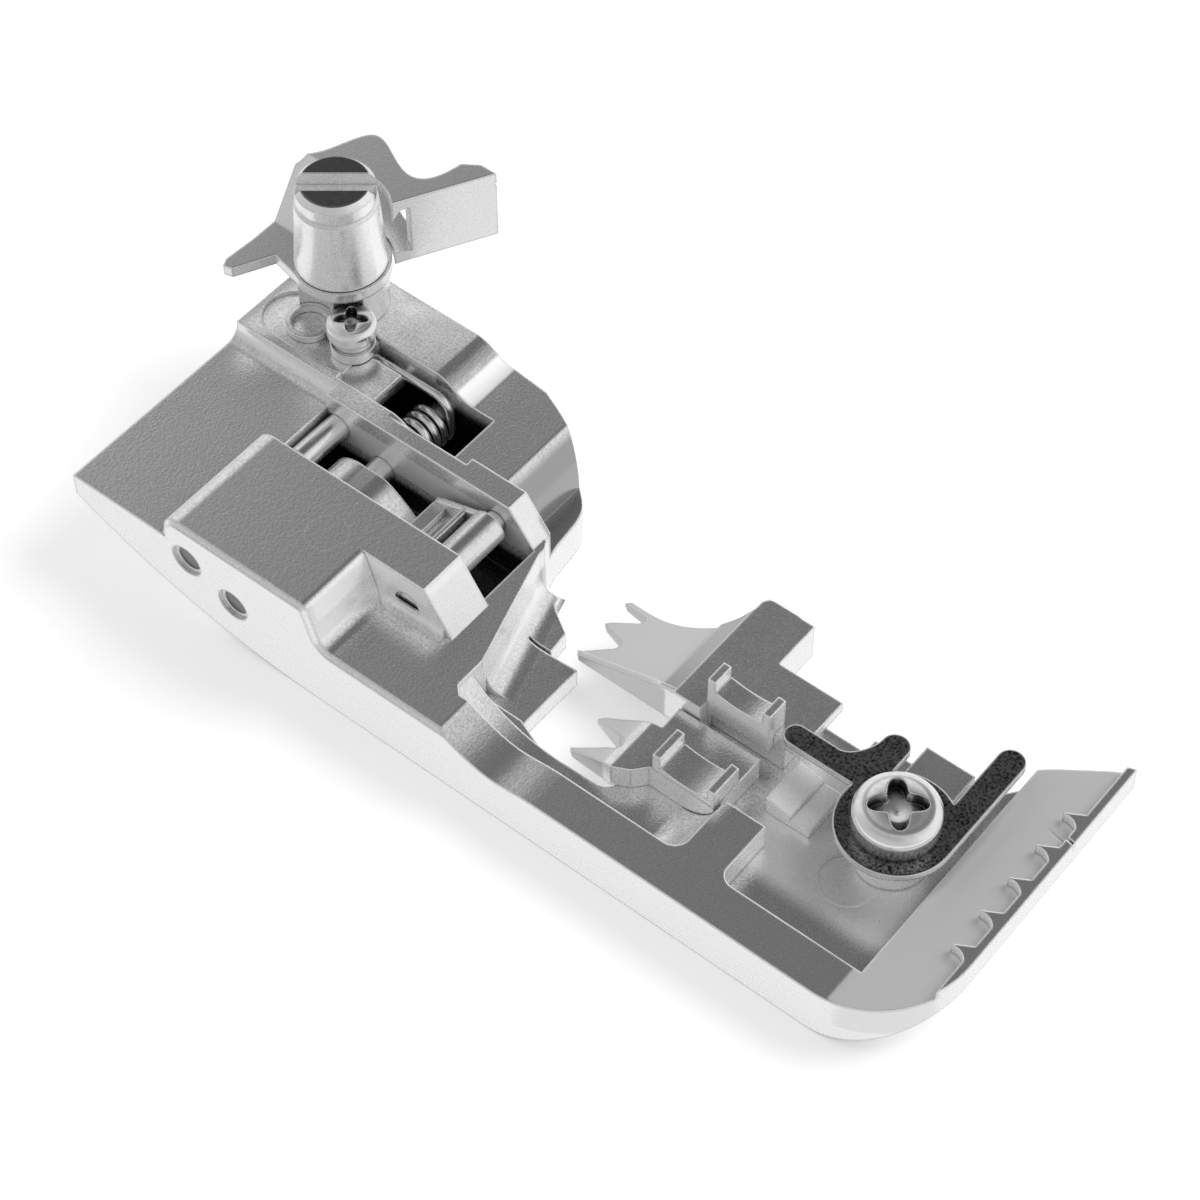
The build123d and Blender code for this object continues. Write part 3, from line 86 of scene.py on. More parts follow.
def placeCamera(c):
    az, el = radians(c["azimuth"]), radians(c["elevation"])
    forward = Vector((-sin(az) * cos(el), cos(az) * cos(el), -sin(el)))
    cam = bpy.data.cameras.new("photoCamera")
    cam.lens = c["lens"]
    cam.sensor_width = c["sensor"]
    cam.clip_start = c["clipStart"]
    obj = bpy.data.objects.new("photoCamera", cam)
    bpy.context.scene.collection.objects.link(obj)
    obj.location = Vector(c["target"]) - forward * c["distance"]
    aim(obj, c["target"])
    bpy.context.scene.camera = obj


def areaLamp(name, s):
    lamp = bpy.data.lights.new(name, "AREA")
    lamp.shape = "DISK"
    lamp.size = s["size"]
    lamp.energy = s["power"]
    obj = bpy.data.objects.new(name, lamp)
    bpy.context.scene.collection.objects.link(obj)
    obj.location = s["place"]
    obj.visible_glossy = False  # metal reflects the white room, not the lamps
    aim(obj, (0, 0, 0))


def give(tree, socket, value):
    # a plain value is set, anything else is linked
    if isinstance(value, (int, float, tuple)):
        socket.default_value = value
    else:
        tree.links.new(value, socket)


def ramp(tree, source, low, high, toLow=0.0, toHigh=1.0, smooth=True):
    node = tree.nodes.new("ShaderNodeMapRange")
    node.interpolation_type = "SMOOTHSTEP" if smooth else "LINEAR"
    for label, value in (("From Min", low), ("From Max", high), ("To Min", toLow), ("To Max", toHigh)):
        give(tree, node.inputs[label], value)
    tree.links.new(source, node.inputs["Value"])
    return node.outputs["Result"]


def combine(tree, operation, first, second):
    node = tree.nodes.new("ShaderNodeMath")
    node.operation = operation
    give(tree, node.inputs[0], first)
    give(tree, node.inputs[1], second)
    return node.outputs[0]


def vectorMath(tree, operation, first, second=None):
    node = tree.nodes.new("ShaderNodeVectorMath")
    node.operation = operation
    tree.links.new(first, node.inputs[0])
    if second is not None:
        give(tree, node.inputs[1], second)
    return node.outputs["Value"]


def mixShader(tree, factor, first, second):
    node = tree.nodes.new("ShaderNodeMixShader")
    for socket, value in zip(node.inputs, (factor, first, second)):
        tree.links.new(value, socket)
    return node.outputs[0]


def background(tree, color, strength):
    node = tree.nodes.new("ShaderNodeBackground")
    node.inputs["Color"].default_value = color
    give(tree, node.inputs["Strength"], strength)
    return node.outputs[0]


def setWorld(s):
    world = bpy.data.worlds.new("softSky")
    bpy.context.scene.world = world
    world.use_nodes = True
    tree = world.node_tree
    tree.nodes.clear()
    out = tree.nodes.new("ShaderNodeOutputWorld")
    path = tree.nodes.new("ShaderNodeLightPath")
    way = tree.nodes.new("ShaderNodeTexCoord").outputs["Generated"]
    split = tree.nodes.new("ShaderNodeSeparateXYZ")
    tree.links.new(way, split.inputs[0])
    # the sky dims upwards and on the camera's side, and fades into the grey card
    dim = ramp(tree, split.outputs["Z"], s["skyFrom"], s["skyFull"], s["horizon"], s["zenith"], smooth=False)
    behind = ramp(tree, split.outputs["Y"], s["behindFull"], s["behindFrom"], s["behind"], 1.0, smooth=False)
    sky = combine(tree, "MULTIPLY", dim, behind)
    toCard = vectorMath(tree, "DOT_PRODUCT", way, s["cardAim"])
    glossy = ramp(tree, toCard, s["cardFrom"], s["cardFull"], sky, s["card"])
    mirror = background(tree, s["mirrorColor"], glossy)
    matt = background(tree, (1, 1, 1, 1), s["sky"])
    white = background(tree, (1, 1, 1, 1), s["backdrop"])
    seen = combine(tree, "MAXIMUM", path.outputs["Is Camera Ray"], path.outputs["Is Transmission Ray"])
    unseen = mixShader(tree, path.outputs["Is Glossy Ray"], matt, mirror)
    tree.links.new(mixShader(tree, seen, unseen, white), out.inputs["Surface"])


def makeFloor(s):
    mesh = bpy.data.meshes.new("paleFloor")
    bm = bmesh.new()
    bmesh.ops.create_grid(bm, x_segments=1, y_segments=1, size=s["size"])
    bm.to_mesh(mesh)
    bm.free()
    floor = bpy.data.objects.new("paleFloor", mesh)
    bpy.context.scene.collection.objects.link(floor)
    mat = bpy.data.materials.new("paleFloor")
    mat.use_nodes = True
    tree = mat.node_tree
    tree.nodes.clear()
    out = tree.nodes.new("ShaderNodeOutputMaterial")
    path = tree.nodes.new("ShaderNodeLightPath")
    matt = tree.nodes.new("ShaderNodeBsdfDiffuse")
    matt.inputs["Color"].default_value = s["color"]
    glow = tree.nodes.new("ShaderNodeEmission")
    mirror = tree.nodes.new("ShaderNodeEmission")
    give(tree, glow.inputs["Strength"], combine(tree, "MULTIPLY", path.outputs["Is Camera Ray"], s["glow"]))
    reach = vectorMath(tree, "LENGTH", tree.nodes.new("ShaderNodeTexCoord").outputs["Object"])
    fall = ramp(tree, reach, s["mirrorFrom"], s["mirrorFull"], s["mirror"], s["mirrorFar"])
    give(tree, mirror.inputs["Strength"], fall)
    lit = tree.nodes.new("ShaderNodeAddShader")
    tree.links.new(matt.outputs[0], lit.inputs[0])
    tree.links.new(glow.outputs[0], lit.inputs[1])
    seen = mixShader(tree, path.outputs["Is Glossy Ray"], lit.outputs[0], mirror.outputs[0])
    tree.links.new(seen, out.inputs["Surface"])
    mesh.materials.append(mat)


def newGroup(name, takes, gives):
    group = bpy.data.node_groups.new(name, "ShaderNodeTree")
    for label, kind, value in takes:
        socket = group.interface.new_socket(name=label, in_out="INPUT", socket_type="NodeSocket" + kind)
        if value is not None:
            socket.default_value = value
    for label, kind in gives:
        group.interface.new_socket(name=label, in_out="OUTPUT", socket_type="NodeSocket" + kind)
    takeNode = group.nodes.new("NodeGroupInput")
    giveNode = group.nodes.new("NodeGroupOutput")
    return group, takeNode.outputs, giveNode.inputs


castGrain = {
    "detail": 3.0,
    "roughness": 0.62,
    "patchDetail": 2.0,
    "patchShare": 0.12,  # scale of the slow patches against the grain's
    "middle": 0.5,
    "low": 0.30,  # noise that gives the darkest and the lightest grain
    "high": 0.66,
}


def fineSpeckleGroup(s):
    # fine cast grain: small dark pits over slow patches
    group, take, out = newGroup(
        "fineSpeckle",
        [("Vector", "Vector", None), ("Scale", "Float", 4200.0), ("Patch", "Float", 0.5)],
        [("Speck", "Float"), ("Height", "Float")],
    )
    grain = group.nodes.new("ShaderNodeTexNoise")
    grain.inputs["Detail"].default_value = s["detail"]
    grain.inputs["Roughness"].default_value = s["roughness"]
    patch = group.nodes.new("ShaderNodeTexNoise")
    patch.inputs["Detail"].default_value = s["patchDetail"]
    for node in (grain, patch):
        group.links.new(take["Vector"], node.inputs["Vector"])
    group.links.new(take["Scale"], grain.inputs["Scale"])
    group.links.new(combine(group, "MULTIPLY", take["Scale"], s["patchShare"]), patch.inputs["Scale"])
    offMiddle = combine(group, "SUBTRACT", patch.outputs["Fac"], s["middle"])
    shift = combine(group, "MULTIPLY", offMiddle, take["Patch"])
    total = combine(group, "ADD", grain.outputs["Fac"], shift)
    group.links.new(ramp(group, total, s["low"], s["high"]), out["Speck"])
    group.links.new(grain.outputs["Fac"], out["Height"])


# "bend" is 0 on a flat face and about 0.54 at a square edge
edgeLine = {
    "samples": 8,
    "bendFrom": 0.16,  # bend where the painted highlight line starts
    "innerLow": (0.06, 0.12),  # bends where the painted dark line inside it comes
    "innerHigh": (0.18, 0.28),  # and goes again
    "lookOut": 2.5,  # radii round an edge that are searched for other faces
    "closed": 0.70,  # openness of an inner corner and of an outer edge
    "open": 0.92,
}


def edgeGleamGroup(s):
    # rounds every edge for the light, and says where outer edges and creases are
    group, take, out = newGroup(
        "edgeGleam",
        [("Radius", "Float", 0.2 * mm), ("Gain", "Float", 3.0)],
        [("Gleam", "Float"), ("Inner", "Float"), ("Crease", "Float"), ("Normal", "Vector")],
    )
    rounded = group.nodes.new("ShaderNodeBevel")
    rounded.samples = s["samples"]
    group.links.new(take["Radius"], rounded.inputs["Radius"])
    flat = group.nodes.new("ShaderNodeNewGeometry").outputs["Normal"]
    same = vectorMath(group, "DOT_PRODUCT", rounded.outputs["Normal"], flat)
    turned = combine(group, "MAXIMUM", combine(group, "SUBTRACT", 1.0, same), 0.0)
    bend = combine(group, "POWER", turned, 0.5)
    line = combine(group, "MULTIPLY", combine(group, "SUBTRACT", bend, s["bendFrom"]), take["Gain"])
    line = combine(group, "MAXIMUM", line, 0.0)
    comes = ramp(group, bend, *s["innerLow"])
    inner = combine(group, "MULTIPLY", comes, ramp(group, bend, *s["innerHigh"], 1.0, 0.0))
    near = group.nodes.new("ShaderNodeAmbientOcclusion")
    near.samples = s["samples"]
    group.links.new(combine(group, "MULTIPLY", take["Radius"], s["lookOut"]), near.inputs["Distance"])
    isOpen = ramp(group, near.outputs["AO"], s["closed"], s["open"])
    gleam = combine(group, "MULTIPLY", line, isOpen)
    crease = combine(group, "MULTIPLY", line, combine(group, "SUBTRACT", 1.0, isOpen))
    group.links.new(combine(group, "MINIMUM", gleam, 1.0), out["Gleam"])
    group.links.new(combine(group, "MULTIPLY", inner, isOpen), out["Inner"])
    group.links.new(combine(group, "MINIMUM", crease, 1.0), out["Crease"])
    group.links.new(rounded.outputs["Normal"], out["Normal"])


hollowSamples = 10


def hollowShadeGroup():
    # 1 in the open, falling to 0 in corners, bays and slots
    group, take, out = newGroup(
        "hollowShade",
        [("Reach", "Float", 3.0 * mm), ("Deep", "Float", 0.25), ("Open", "Float", 0.85)],
        [("Shade", "Float")],
    )
    around = group.nodes.new("ShaderNodeAmbientOcclusion")
    around.samples = hollowSamples
    group.links.new(take["Reach"], around.inputs["Distance"])
    group.links.new(ramp(group, around.outputs["AO"], take["Deep"], take["Open"]), out["Shade"])


def ringMarkGroup():
    # faint round line that a mould's ejector pin leaves
    group, take, out = newGroup(
        "ringMark",
        [("Vector", "Vector", None), ("Place", "Vector", None), ("Radius", "Float", 1.5 * mm),
         ("Width", "Float", 0.07 * mm)],
        [("Mask", "Float")],
    )
    reach = vectorMath(group, "DISTANCE", take["Vector"], take["Place"])
    off = combine(group, "ABSOLUTE", combine(group, "SUBTRACT", reach, take["Radius"]), 0.0)
    group.links.new(ramp(group, off, 0.0, take["Width"], 1.0, 0.0), out["Mask"])


def softZoneGroup():
    # 1 inside a box of the object, fading out past its sides
    group, take, out = newGroup(
        "softZone",
        [("Vector", "Vector", None), ("Low", "Vector", None), ("High", "Vector", None),
         ("Fade", "Float", 0.5 * mm)],
        [("Mask", "Float")],
    )
    split = []
    for label in ("Vector", "Low", "High"):
        node = group.nodes.new("ShaderNodeSeparateXYZ")
        group.links.new(take[label], node.inputs[0])
        split.append(node)
    mask = None
    for axis in ("X", "Y", "Z"):
        value, low, high = [node.outputs[axis] for node in split]
        start = combine(group, "SUBTRACT", low, take["Fade"])
        end = combine(group, "ADD", high, take["Fade"])
        for edge in (ramp(group, value, start, low), ramp(group, value, high, end, 1.0, 0.0)):
            mask = edge if mask is None else combine(group, "MULTIPLY", mask, edge)
    group.links.new(mask, out["Mask"])


def place(tree, name, **values):
    node = tree.nodes.new("ShaderNodeGroup")
    node.node_tree = bpy.data.node_groups[name]
    for label, value in values.items():
        node.inputs[label].default_value = value
    return node


def colorMix(tree, factor, first, second, blend="MIX"):
    node = tree.nodes.new("ShaderNodeMixRGB")
    node.blend_type = blend
    for socket, value in zip(node.inputs, (factor, first, second)):
        give(tree, socket, value)
    return node.outputs[0]


def grey(value):
    return (value, value, value, 1.0)


# what every metal here shares
skin = {
    "flat": 0.85,  # size of the normal's Z on grained tops
    "upright": 0.55,  # and on smooth upright faces
    "uprightRelief": 0.4,  # share of the grain's relief left there
    "innerTone": 0.05,
    "creaseTone": 0.03,
    "darkRough": 1.25,  # roughness of dark and of light grain against the metal's
    "lightRough": 0.85,
    "relief": 0.02 * mm,
}


def metal(name, f):
    mat = bpy.data.materials.new(name)
    mat.use_nodes = True
    tree = mat.node_tree
    shader = tree.nodes["Principled BSDF"]
    where = tree.nodes.new("ShaderNodeTexCoord").outputs["Object"]
    speckle = place(tree, "fineSpeckle", Scale=f["grain"], Patch=f["patch"])
    tree.links.new(where, speckle.inputs["Vector"])
    gleam = place(tree, "edgeGleam", Radius=f["edge"], Gain=f["edgeGain"])
    hollow = place(tree, "hollowShade", Reach=f["reach"], Deep=f["deep"], Open=f["open"])
    color = colorMix(tree, speckle.outputs["Speck"], grey(f["dark"]), grey(f["light"]))
    for mark in f.get("rings", ()):
        middle = [v * mm for v in mark["place"]]
        ring = place(tree, "ringMark", Place=middle, Radius=mark["radius"] * mm, Width=mark["width"] * mm)
        tree.links.new(where, ring.inputs["Vector"])
        mask = combine(tree, "MULTIPLY", ring.outputs["Mask"], mark["tone"])
        color = colorMix(tree, mask, color, grey(1.0))
    # upright faces are smoother, and get painted light: a lighter tone and less metal than the grained tops
    facing = tree.nodes.new("ShaderNodeSeparateXYZ")
    tree.links.new(tree.nodes.new("ShaderNodeNewGeometry").outputs["Normal"], facing.inputs[0])
    slope = combine(tree, "ABSOLUTE", facing.outputs["Z"], 0.0)
    upright = ramp(tree, slope, skin["upright"], skin["flat"], 1.0, 0.0)
    color = colorMix(tree, upright, color, grey(f["side"]))
    metallic = ramp(tree, upright, 0.0, 1.0, f["metallic"], f["sideMetal"], smooth=False)
    keep = ramp(tree, upright, 0.0, 1.0, 1.0, skin["uprightRelief"])
    height = combine(tree, "MULTIPLY", speckle.outputs["Height"], keep)
    grain = speckle.outputs["Speck"]
    # zones: boxes with a painted tone of light and shade, and their own metalness
    for z in f.get("zones", {}).values():
        low, high = [[v * mm for v in z[end]] for end in ("low", "high")]
        box = place(tree, "softZone", Low=low, High=high, Fade=z["fade"] * mm)
        tree.links.new(where, box.inputs["Vector"])
        mask = box.outputs["Mask"]
        color = colorMix(tree, mask, color, grey(z["tone"]))
        metallic = ramp(tree, mask, 0.0, 1.0, metallic, z["metallic"], smooth=False)
        if z["smooth"]:
            keep = ramp(tree, mask, 0.0, 1.0, 1.0, 1.0 - z["smooth"])
            height = combine(tree, "MULTIPLY", height, keep)
            grain = combine(tree, "MULTIPLY", grain, keep)
    # edges: a painted highlight line with a painted dark line inside it, and painted shade in the creases
    # painted shade: a dark line just inside each edge highlight
    inner = combine(tree, "MULTIPLY", gleam.outputs["Inner"], f["edgeDark"])
    color = colorMix(tree, inner, color, grey(skin["innerTone"]))
    # painted highlight: outer edges turn white and less metallic
    paintedEdgeHighlight = combine(tree, "MULTIPLY", gleam.outputs["Gleam"], f["edgeTone"])
    color = colorMix(tree, paintedEdgeHighlight, color, grey(f["edgeLight"]))
    metallic = ramp(tree, paintedEdgeHighlight, 0.0, 1.0, metallic, f["edgeMetal"], smooth=False)
    # painted shade: inner creases turn dark
    crease = combine(tree, "MULTIPLY", gleam.outputs["Crease"], f["creaseTone"])
    color = colorMix(tree, crease, color, grey(skin["creaseTone"]))
    shade = colorMix(tree, hollow.outputs["Shade"], grey(f["hollow"]), grey(1.0))
    color = colorMix(tree, 1.0, color, shade, "MULTIPLY")
    darkRough, lightRough = f["rough"] * skin["darkRough"], f["rough"] * skin["lightRough"]
    rough = ramp(tree, grain, 0.0, 1.0, darkRough, lightRough, smooth=False)
    relief = tree.nodes.new("ShaderNodeBump")
    relief.inputs["Strength"].default_value = f["bump"]
    relief.inputs["Distance"].default_value = skin["relief"]
    tree.links.new(height, relief.inputs["Height"])
    tree.links.new(gleam.outputs["Normal"], relief.inputs["Normal"])
    tree.links.new(color, shader.inputs["Base Color"])
    tree.links.new(metallic, shader.inputs["Metallic"])
    tree.links.new(rough, shader.inputs["Roughness"])
    tree.links.new(relief.outputs["Normal"], shader.inputs["Normal"])
    return mat


def zone(low, high, fade, tone, metallic, smooth=0.0):
    # a box, in mm, where the finish gets a tone of painted light and shade, and less grain where it is smooth
    return {"low": low, "high": high, "fade": fade, "tone": tone, "metallic": metallic, "smooth": smooth}


castFinish = {
    "light": 0.97, "dark": 0.74, "rough": 0.25, "metallic": 0.93, "grain": 4600.0, "patch": 0.30, "bump": 0.7,
    "edge": 0.26 * mm, "edgeGain": 4.5, "edgeTone": 0.95, "edgeLight": 1.0, "edgeMetal": 0.2,
    "edgeDark": 0.35, "creaseTone": 0.45, "reach": 1.6 * mm, "deep": 0.05, "open": 0.42, "hollow": 0.32,
    "side": 0.97, "sideMetal": 0.60,
    # zones: painted light on toeSlope, toeFloor, bayFarWall, blockFront and slopeFoot; painted shade in bay,
    # springBay, farStep and plateauSlope
    "zones": {
        "toeSlope": zone((27.0, -9.6, 2.0), (32.15, 17, 4.85), 0.3, tone=0.86, metallic=0.55, smooth=0.9),
        "toeFloor": zone((15.0, -3.0, 2.0), (26.0, 5.0, 2.4), 1.8, tone=0.97, metallic=0.55, smooth=0.6),
        "bay": zone((-28.5, 0.0, 1.0), (-9.4, 5.8, 3.6), 0.8, tone=0.07, metallic=0.9),
        "springBay": zone((-29.0, 7.3, 1.0), (-18.3, 12.2, 5.6), 1.4, tone=0.05, metallic=0.9),
        "farStep": zone((-14.2, 7.7, 3.5), (-9.0, 17, 6.7), 0.6, tone=0.42, metallic=0.9),
        "bayFarWall": zone((-28.0, 5.5, 4.9), (-10.0, 6.4, 7.2), 0.15, tone=0.95, metallic=0.35, smooth=0.7),
        "plateauSlope": zone((-23.5, 12.2, 7.7), (-22.3, 17, 8.5), 0.3, tone=0.62, metallic=0.9),
        "blockFront": zone((-16.5, -9.0, 7.85), (-11.0, 0.5, 9.1), 0.3, tone=1.0, metallic=0.3, smooth=0.7),
        "slopeFoot": zone((-21.6, 12.2, 7.45), (-20.4, 17, 8.2), 0.3, tone=1.0, metallic=0.15, smooth=0.8),
    },
    "rings": [
        {"place": (-19.52, -4.04, 9.45), "radius": 1.5, "width": 0.10, "tone": 0.8},
        {"place": (-15.97, 11.58, 7.35), "radius": 1.4, "width": 0.10, "tone": 0.8},
    ],
}
plateFinish = {
    "light": 0.99, "dark": 0.88, "rough": 0.24, "metallic": 0.93, "grain": 4400.0, "patch": 0.30, "bump": 0.7,
    "edge": 0.24 * mm, "edgeGain": 4.5, "edgeTone": 1.0, "edgeLight": 1.0, "edgeMetal": 0.2,
    "edgeDark": 0.45, "creaseTone": 0.5, "reach": 1.0 * mm, "deep": 0.02, "open": 0.35, "hollow": 0.60,
    "side": 0.98, "sideMetal": 0.60,
}
fingerFinish = dict(plateFinish, zones={
    # zones: painted light and shade on the scoop and on the rise behind it
    "scoop": zone((-4.0, -13.0, 0.0), (4.4, 13.0, 4.9), 0.3, tone=0.66, metallic=0.4, smooth=0.95),
    "riseBehind": zone((4.1, 2.6, 3.0), (5.15, 13.0, 6.0), 0.15, tone=0.50, metallic=0.6, smooth=0.95),
})
stopFinish = dict(plateFinish, light=0.96, dark=0.90, metallic=0.28, bump=0.2)
satinFinish = {
    "light": 0.92, "dark": 0.74, "rough": 0.25, "metallic": 0.94, "grain": 4200.0, "patch": 0.3, "bump": 0.25,
    "edge": 0.22 * mm, "edgeGain": 4.2, "edgeTone": 0.95, "edgeLight": 1.0, "edgeMetal": 0.2,
    "edgeDark": 0.40, "creaseTone": 0.5, "reach": 1.4 * mm, "deep": 0.08, "open": 0.50, "hollow": 0.35,
    "side": 0.88, "sideMetal": 0.60,
}
chromeFinish = {
    "light": 0.95, "dark": 0.87, "rough": 0.21, "metallic": 0.96, "grain": 1800.0, "patch": 0.2, "bump": 0.08,
    "edge": 0.16 * mm, "edgeGain": 3.0, "edgeTone": 0.8, "edgeLight": 1.0, "edgeMetal": 0.5,
    "edgeDark": 0.3, "creaseTone": 0.6, "reach": 1.0 * mm, "deep": 0.10, "open": 0.60, "hollow": 0.12,
    "side": 0.95, "sideMetal": 0.90,
}
pinFinish = dict(chromeFinish, zones={
    # the pins' near ends are painted near black
    "darkEnds": zone((-40.0, -10.5, 0.0), (0.0, -9.3, 9.0), 0.1, tone=0.16, metallic=0.8),
})
postFinish = dict(chromeFinish, grain=2400.0, bump=0.2, rough=0.28, side=1.0, sideMetal=0.66, zones={
    # painted dark reflection on the post's flat top
    "darkReflectionTop": zone((-37.0, 9.0, 20.45), (-29.0, 18.0, 21.0), 0.02, tone=0.12, metallic=0.9),
})
screwFinish = dict(chromeFinish, metallic=0.86, rough=0.16, reach=1.5 * mm, deep=0.35, open=0.96, hollow=0.03)
blackFinish = {
    "light": 0.34, "dark": 0.006, "rough": 0.25, "metallic": 0.9, "grain": 5200.0, "patch": 0.2, "bump": 0.8,
    "edge": 0.26 * mm, "edgeGain": 4.5, "edgeTone": 0.9, "edgeLight": 0.9, "edgeMetal": 0.2,
    "edgeDark": 0.5, "creaseTone": 0.8, "reach": 1.0 * mm, "deep": 0.10, "open": 0.50, "hollow": 0.40,
    "side": 0.75, "sideMetal": 0.80,
}


mergeGap = 0.0005 * mm


def finished(name, bm, mat, s, sharpFrom):
    bmesh.ops.remove_doubles(bm, verts=bm.verts, dist=mergeGap)
    bmesh.ops.recalc_face_normals(bm, faces=bm.faces)
    mesh = bpy.data.meshes.new(name)
    bm.to_mesh(mesh)
    bm.free()
    obj = bpy.data.objects.new(name, mesh)
    bpy.context.scene.collection.objects.link(obj)
    mesh.materials.append(mat)
    mesh.shade_smooth()
    mesh.set_sharp_from_angle(angle=radians(sharpFrom))
    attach(obj, s["body"])
    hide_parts(s["node"])


guideScrew = {
    "node": "guide_screw", "body": "foot", "slot": "bright_steel",
    "place": (23.2, 2.6), "seat": 6.3, "top": 8.45, "dome": 0.3, "radius": 3.0, "round": 0.9,
    "shankRadius": 1.3, "shankEnd": 2.8, "recess": 1.95, "waist": 1.0, "deep": 1.25, "turn": 38.6,
}
clampScrew = {
    "node": "adjusting_screw", "body": "foot", "slot": "bright_steel",
    "place": (-29.9, 10.4), "seat": 10.25, "top": 11.5, "dome": 0.15, "radius": 1.82, "round": 0.55,
    "shankRadius": 0.8, "shankEnd": 6.2, "recess": 1.18, "waist": 0.58, "deep": 0.8, "turn": 38.6,
}
panHead = {
    "sides": 96,
    "roundSteps": 8,
    "rings": 34,  # across the top, for the recess to be pressed into
    "lobePower": 2.2,  # how narrow the four lobes are
    "wall": 0.16,  # width of the recess's slanting wall
    "lobeDeep": 0.72,  # depth of the lobes against the middle's
    "near": 0.001,  # how close to the top a vertex counts as on it
    "sharpFrom": 40,
}


def clamp(value):
    return min(max(value, 0.0), 1.0)


def panScrew(s, p, mat):
    # the outline is spun round, then the lobes of the recess are pressed in
    bm = bmesh.new()
    outline = [(0.0, s["shankEnd"]), (s["shankRadius"], s["shankEnd"])]
    outline += [(s["shankRadius"], s["seat"]), (s["radius"], s["seat"])]
    for count in range(p["roundSteps"] + 1):
        turn = pi / 2 * count / p["roundSteps"]
        outline.append((s["radius"] - s["round"] * (1 - cos(turn)), s["top"] - s["round"] * (1 - sin(turn))))
    inner = s["radius"] - s["round"]
    for count in range(1, p["rings"] + 1):
        outline.append((inner * (1 - count / p["rings"]), s["top"]))
    verts = [bm.verts.new((x * mm, 0, z * mm)) for x, z in outline]
    edges = [bm.edges.new(pair) for pair in zip(verts, verts[1:])]
    bmesh.ops.spin(
        bm, geom=verts + edges, cent=(0, 0, 0), axis=(0, 0, 1),
        angle=2 * pi, steps=p["sides"], use_merge=True,
    )
    bmesh.ops.remove_doubles(bm, verts=bm.verts, dist=mergeGap)
    for vert in bm.verts:
        reach = vert.co.xy.length / mm
        if vert.co.z / mm > s["top"] - p["near"] and reach < inner:
            angle = vert.co.xy.to_2d().angle_signed(Vector((1, 0)), 0.0) if reach > 0 else 0.0
            swell = abs(cos(2 * (angle - radians(s["turn"])))) ** p["lobePower"]
            lobe = s["waist"] + (s["recess"] - s["waist"]) * swell
            press = clamp((lobe - reach) / p["wall"] + 0.5)
            press = press * press * (3 - 2 * press)
            middle = clamp((s["waist"] - reach) / s["waist"])
            depth = s["deep"] * (p["lobeDeep"] + (1 - p["lobeDeep"]) * middle)
            vert.co.z -= (depth * press - s["dome"] * (1 - (reach / inner) ** 2)) * mm
    bmesh.ops.translate(bm, verts=bm.verts, vec=(s["place"][0] * mm, s["place"][1] * mm, 0))
    finished(s["node"] + "Round", bm, mat, s, p["sharpFrom"])


coil = {
    "node": "torsion_spring", "body": "foot", "slot": "bright_steel",
    "hinge": (-23.3, 4.43), "radius": 1.46, "wire": 0.31, "turns": 4.25, "pitch": 0.78, "farY": 11.43,
    "bend": 1.4, "legRear": -28.83, "legZ": 7.39,
    "wireSides": 14, "turnSteps": 32, "bendSteps": 10, "joinGap": 0.002, "sharpFrom": 60,
}


def isVert(item):
    return isinstance(item, bmesh.types.BMVert)


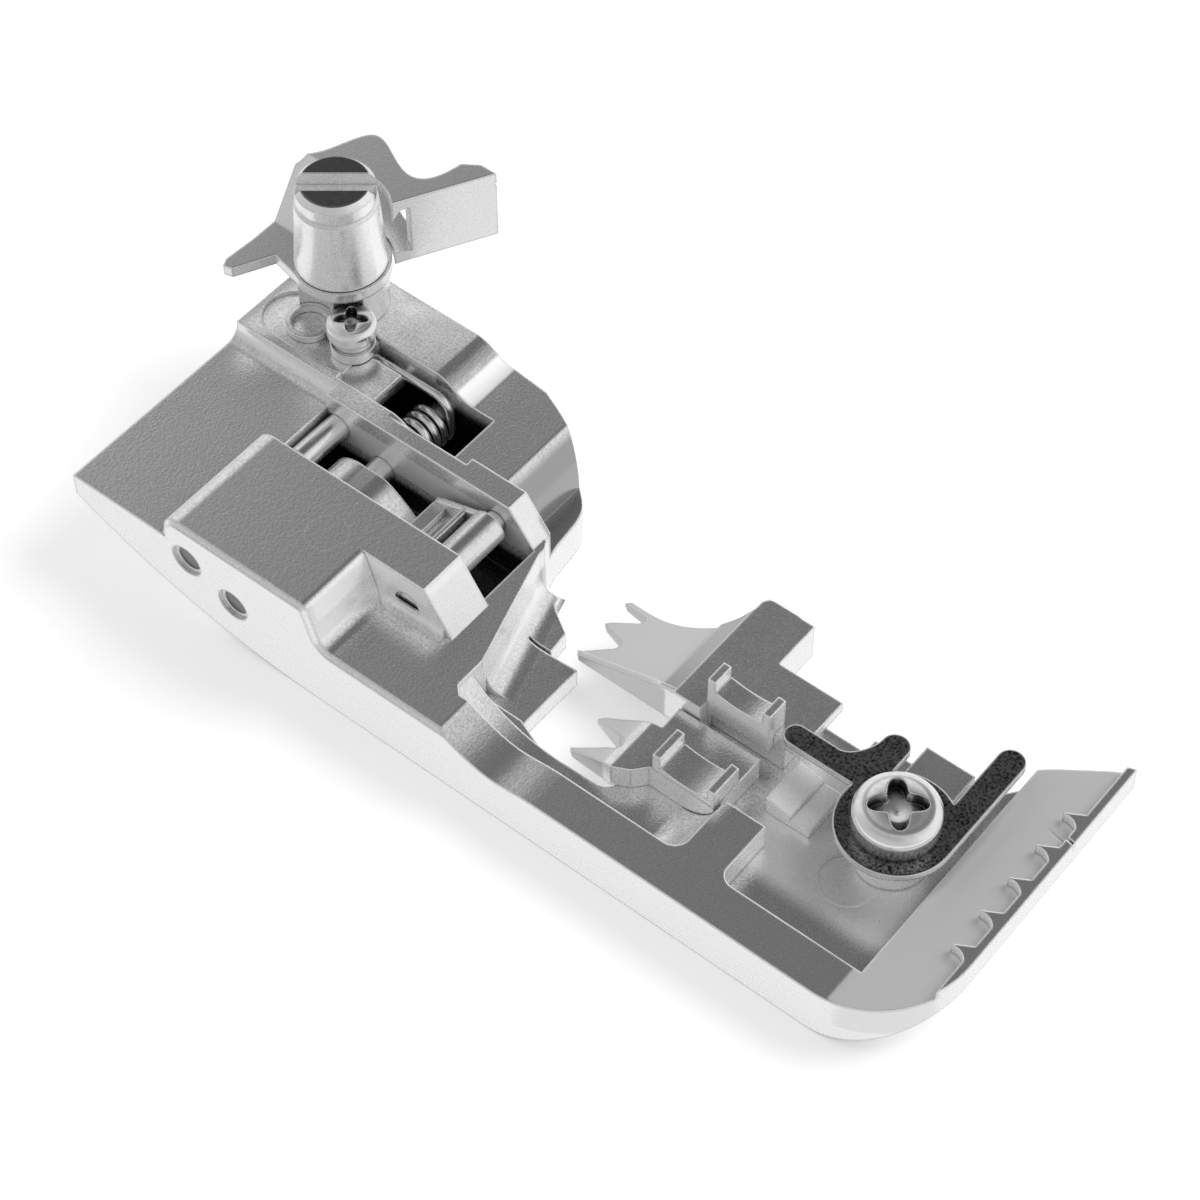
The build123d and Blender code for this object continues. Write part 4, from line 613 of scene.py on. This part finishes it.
def roundSpring(s, mat):
    # the wire's round is spun and carried along the pin, then led back as the leg
    x, z = s["hinge"]
    start = Matrix.Translation(Vector((x + s["radius"], s["farY"], z)) * mm)
    wire = {"cap_ends": False, "segments": s["wireSides"], "radius": s["wire"] * mm, "matrix": start}
    bm = bmesh.new()
    bmesh.ops.create_circle(bm, **wire)
    steps = int(s["turns"] * s["turnSteps"])
    bmesh.ops.spin(
        bm, geom=bm.verts[:] + bm.edges[:], cent=Vector((x, s["farY"], z)) * mm, axis=(0, 1, 0),
        angle=2 * pi * s["turns"], steps=steps, use_merge=False,
        dvec=(0, -s["pitch"] * s["turns"] / steps * mm, 0),
    )
    leg = bmesh.new()
    bmesh.ops.create_circle(leg, **wire)
    grown = bmesh.ops.extrude_edge_only(leg, edges=leg.edges[:])["geom"]
    top = [item for item in grown if isVert(item)]
    bmesh.ops.translate(leg, verts=top, vec=(0, 0, (s["legZ"] - s["bend"] - z) * mm))
    ring = [item for item in grown if not isinstance(item, bmesh.types.BMFace)]
    ring = [item for item in ring if isVert(item) or all(v in top for v in item.verts)]
    bendX = x + s["radius"] - s["bend"]
    centre = Vector((bendX, s["farY"], s["legZ"] - s["bend"])) * mm
    bent = bmesh.ops.spin(
        leg, geom=ring, cent=centre, axis=(0, -1, 0), angle=pi / 2, steps=s["bendSteps"], use_merge=False,
    )["geom_last"]
    last = [item for item in bent if isinstance(item, bmesh.types.BMEdge)]
    grown = bmesh.ops.extrude_edge_only(leg, edges=last)["geom"]
    tip = [item for item in grown if isVert(item)]
    bmesh.ops.translate(leg, verts=tip, vec=((s["legRear"] - bendX) * mm, 0, 0))
    held = bpy.data.meshes.new("springLeg")
    leg.to_mesh(held)
    leg.free()
    bm.from_mesh(held)
    bpy.data.meshes.remove(held)
    bmesh.ops.remove_doubles(bm, verts=bm.verts, dist=s["joinGap"] * mm)
    openEdges = [edge for edge in bm.edges if edge.is_boundary]
    bmesh.ops.holes_fill(bm, edges=openEdges, sides=s["wireSides"])
    finished("springWire", bm, mat, s, s["sharpFrom"])


# every other node is brightSteel
finishOf = {
    "foot_casting": "castNickel", "far_finger_plate": "fingerNickel", "near_finger_plate": "fingerNickel",
    "far_thread_guide": "plateNickel", "near_thread_guide": "plateNickel", "guide_stop": "stopNickel",
    "tape_guide": "blackSteel",
    "rear_pin": "pinSteel", "hinge_pin": "pinSteel", "stop_pin": "pinSteel",
    "rocker": "satinSteel", "link_frame": "satinSteel", "spring_cover": "satinSteel",
    "clamp_plate": "satinSteel", "release_lever": "satinSteel", "post_pedestal": "satinSteel",
    "lever_post": "postSteel",
}


def dress(node, mat):
    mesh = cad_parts[node].data
    mesh.materials.clear()
    mesh.materials.append(mat)


print("stage and camera")
placeCamera(cameraView)
setWorld(studio)
makeFloor(paleFloor)
areaLamp("keyLamp", keyLamp)
areaLamp("fillLamp", fillLamp)

print("metals")
fineSpeckleGroup(castGrain)
edgeGleamGroup(edgeLine)
hollowShadeGroup()
ringMarkGroup()
softZoneGroup()
finishes = {
    "castNickel": metal("castNickel", castFinish),
    "plateNickel": metal("plateNickel", plateFinish),
    "fingerNickel": metal("fingerNickel", fingerFinish),
    "stopNickel": metal("stopNickel", stopFinish),
    "satinSteel": metal("satinSteel", satinFinish),
    "brightSteel": metal("brightSteel", chromeFinish),
    "pinSteel": metal("pinSteel", pinFinish),
    "postSteel": metal("postSteel", postFinish),
    "screwSteel": metal("screwSteel", screwFinish),
    "blackSteel": metal("blackSteel", blackFinish),
}
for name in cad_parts:
    dress(name, finishes[finishOf.get(name, "brightSteel")])

print("round screws and spring")
panScrew(guideScrew, panHead, finishes["screwSteel"])
panScrew(clampScrew, panHead, finishes["screwSteel"])
roundSpring(coil, finishes["brightSteel"])

bpy.context.scene.view_settings.view_transform = "Standard"
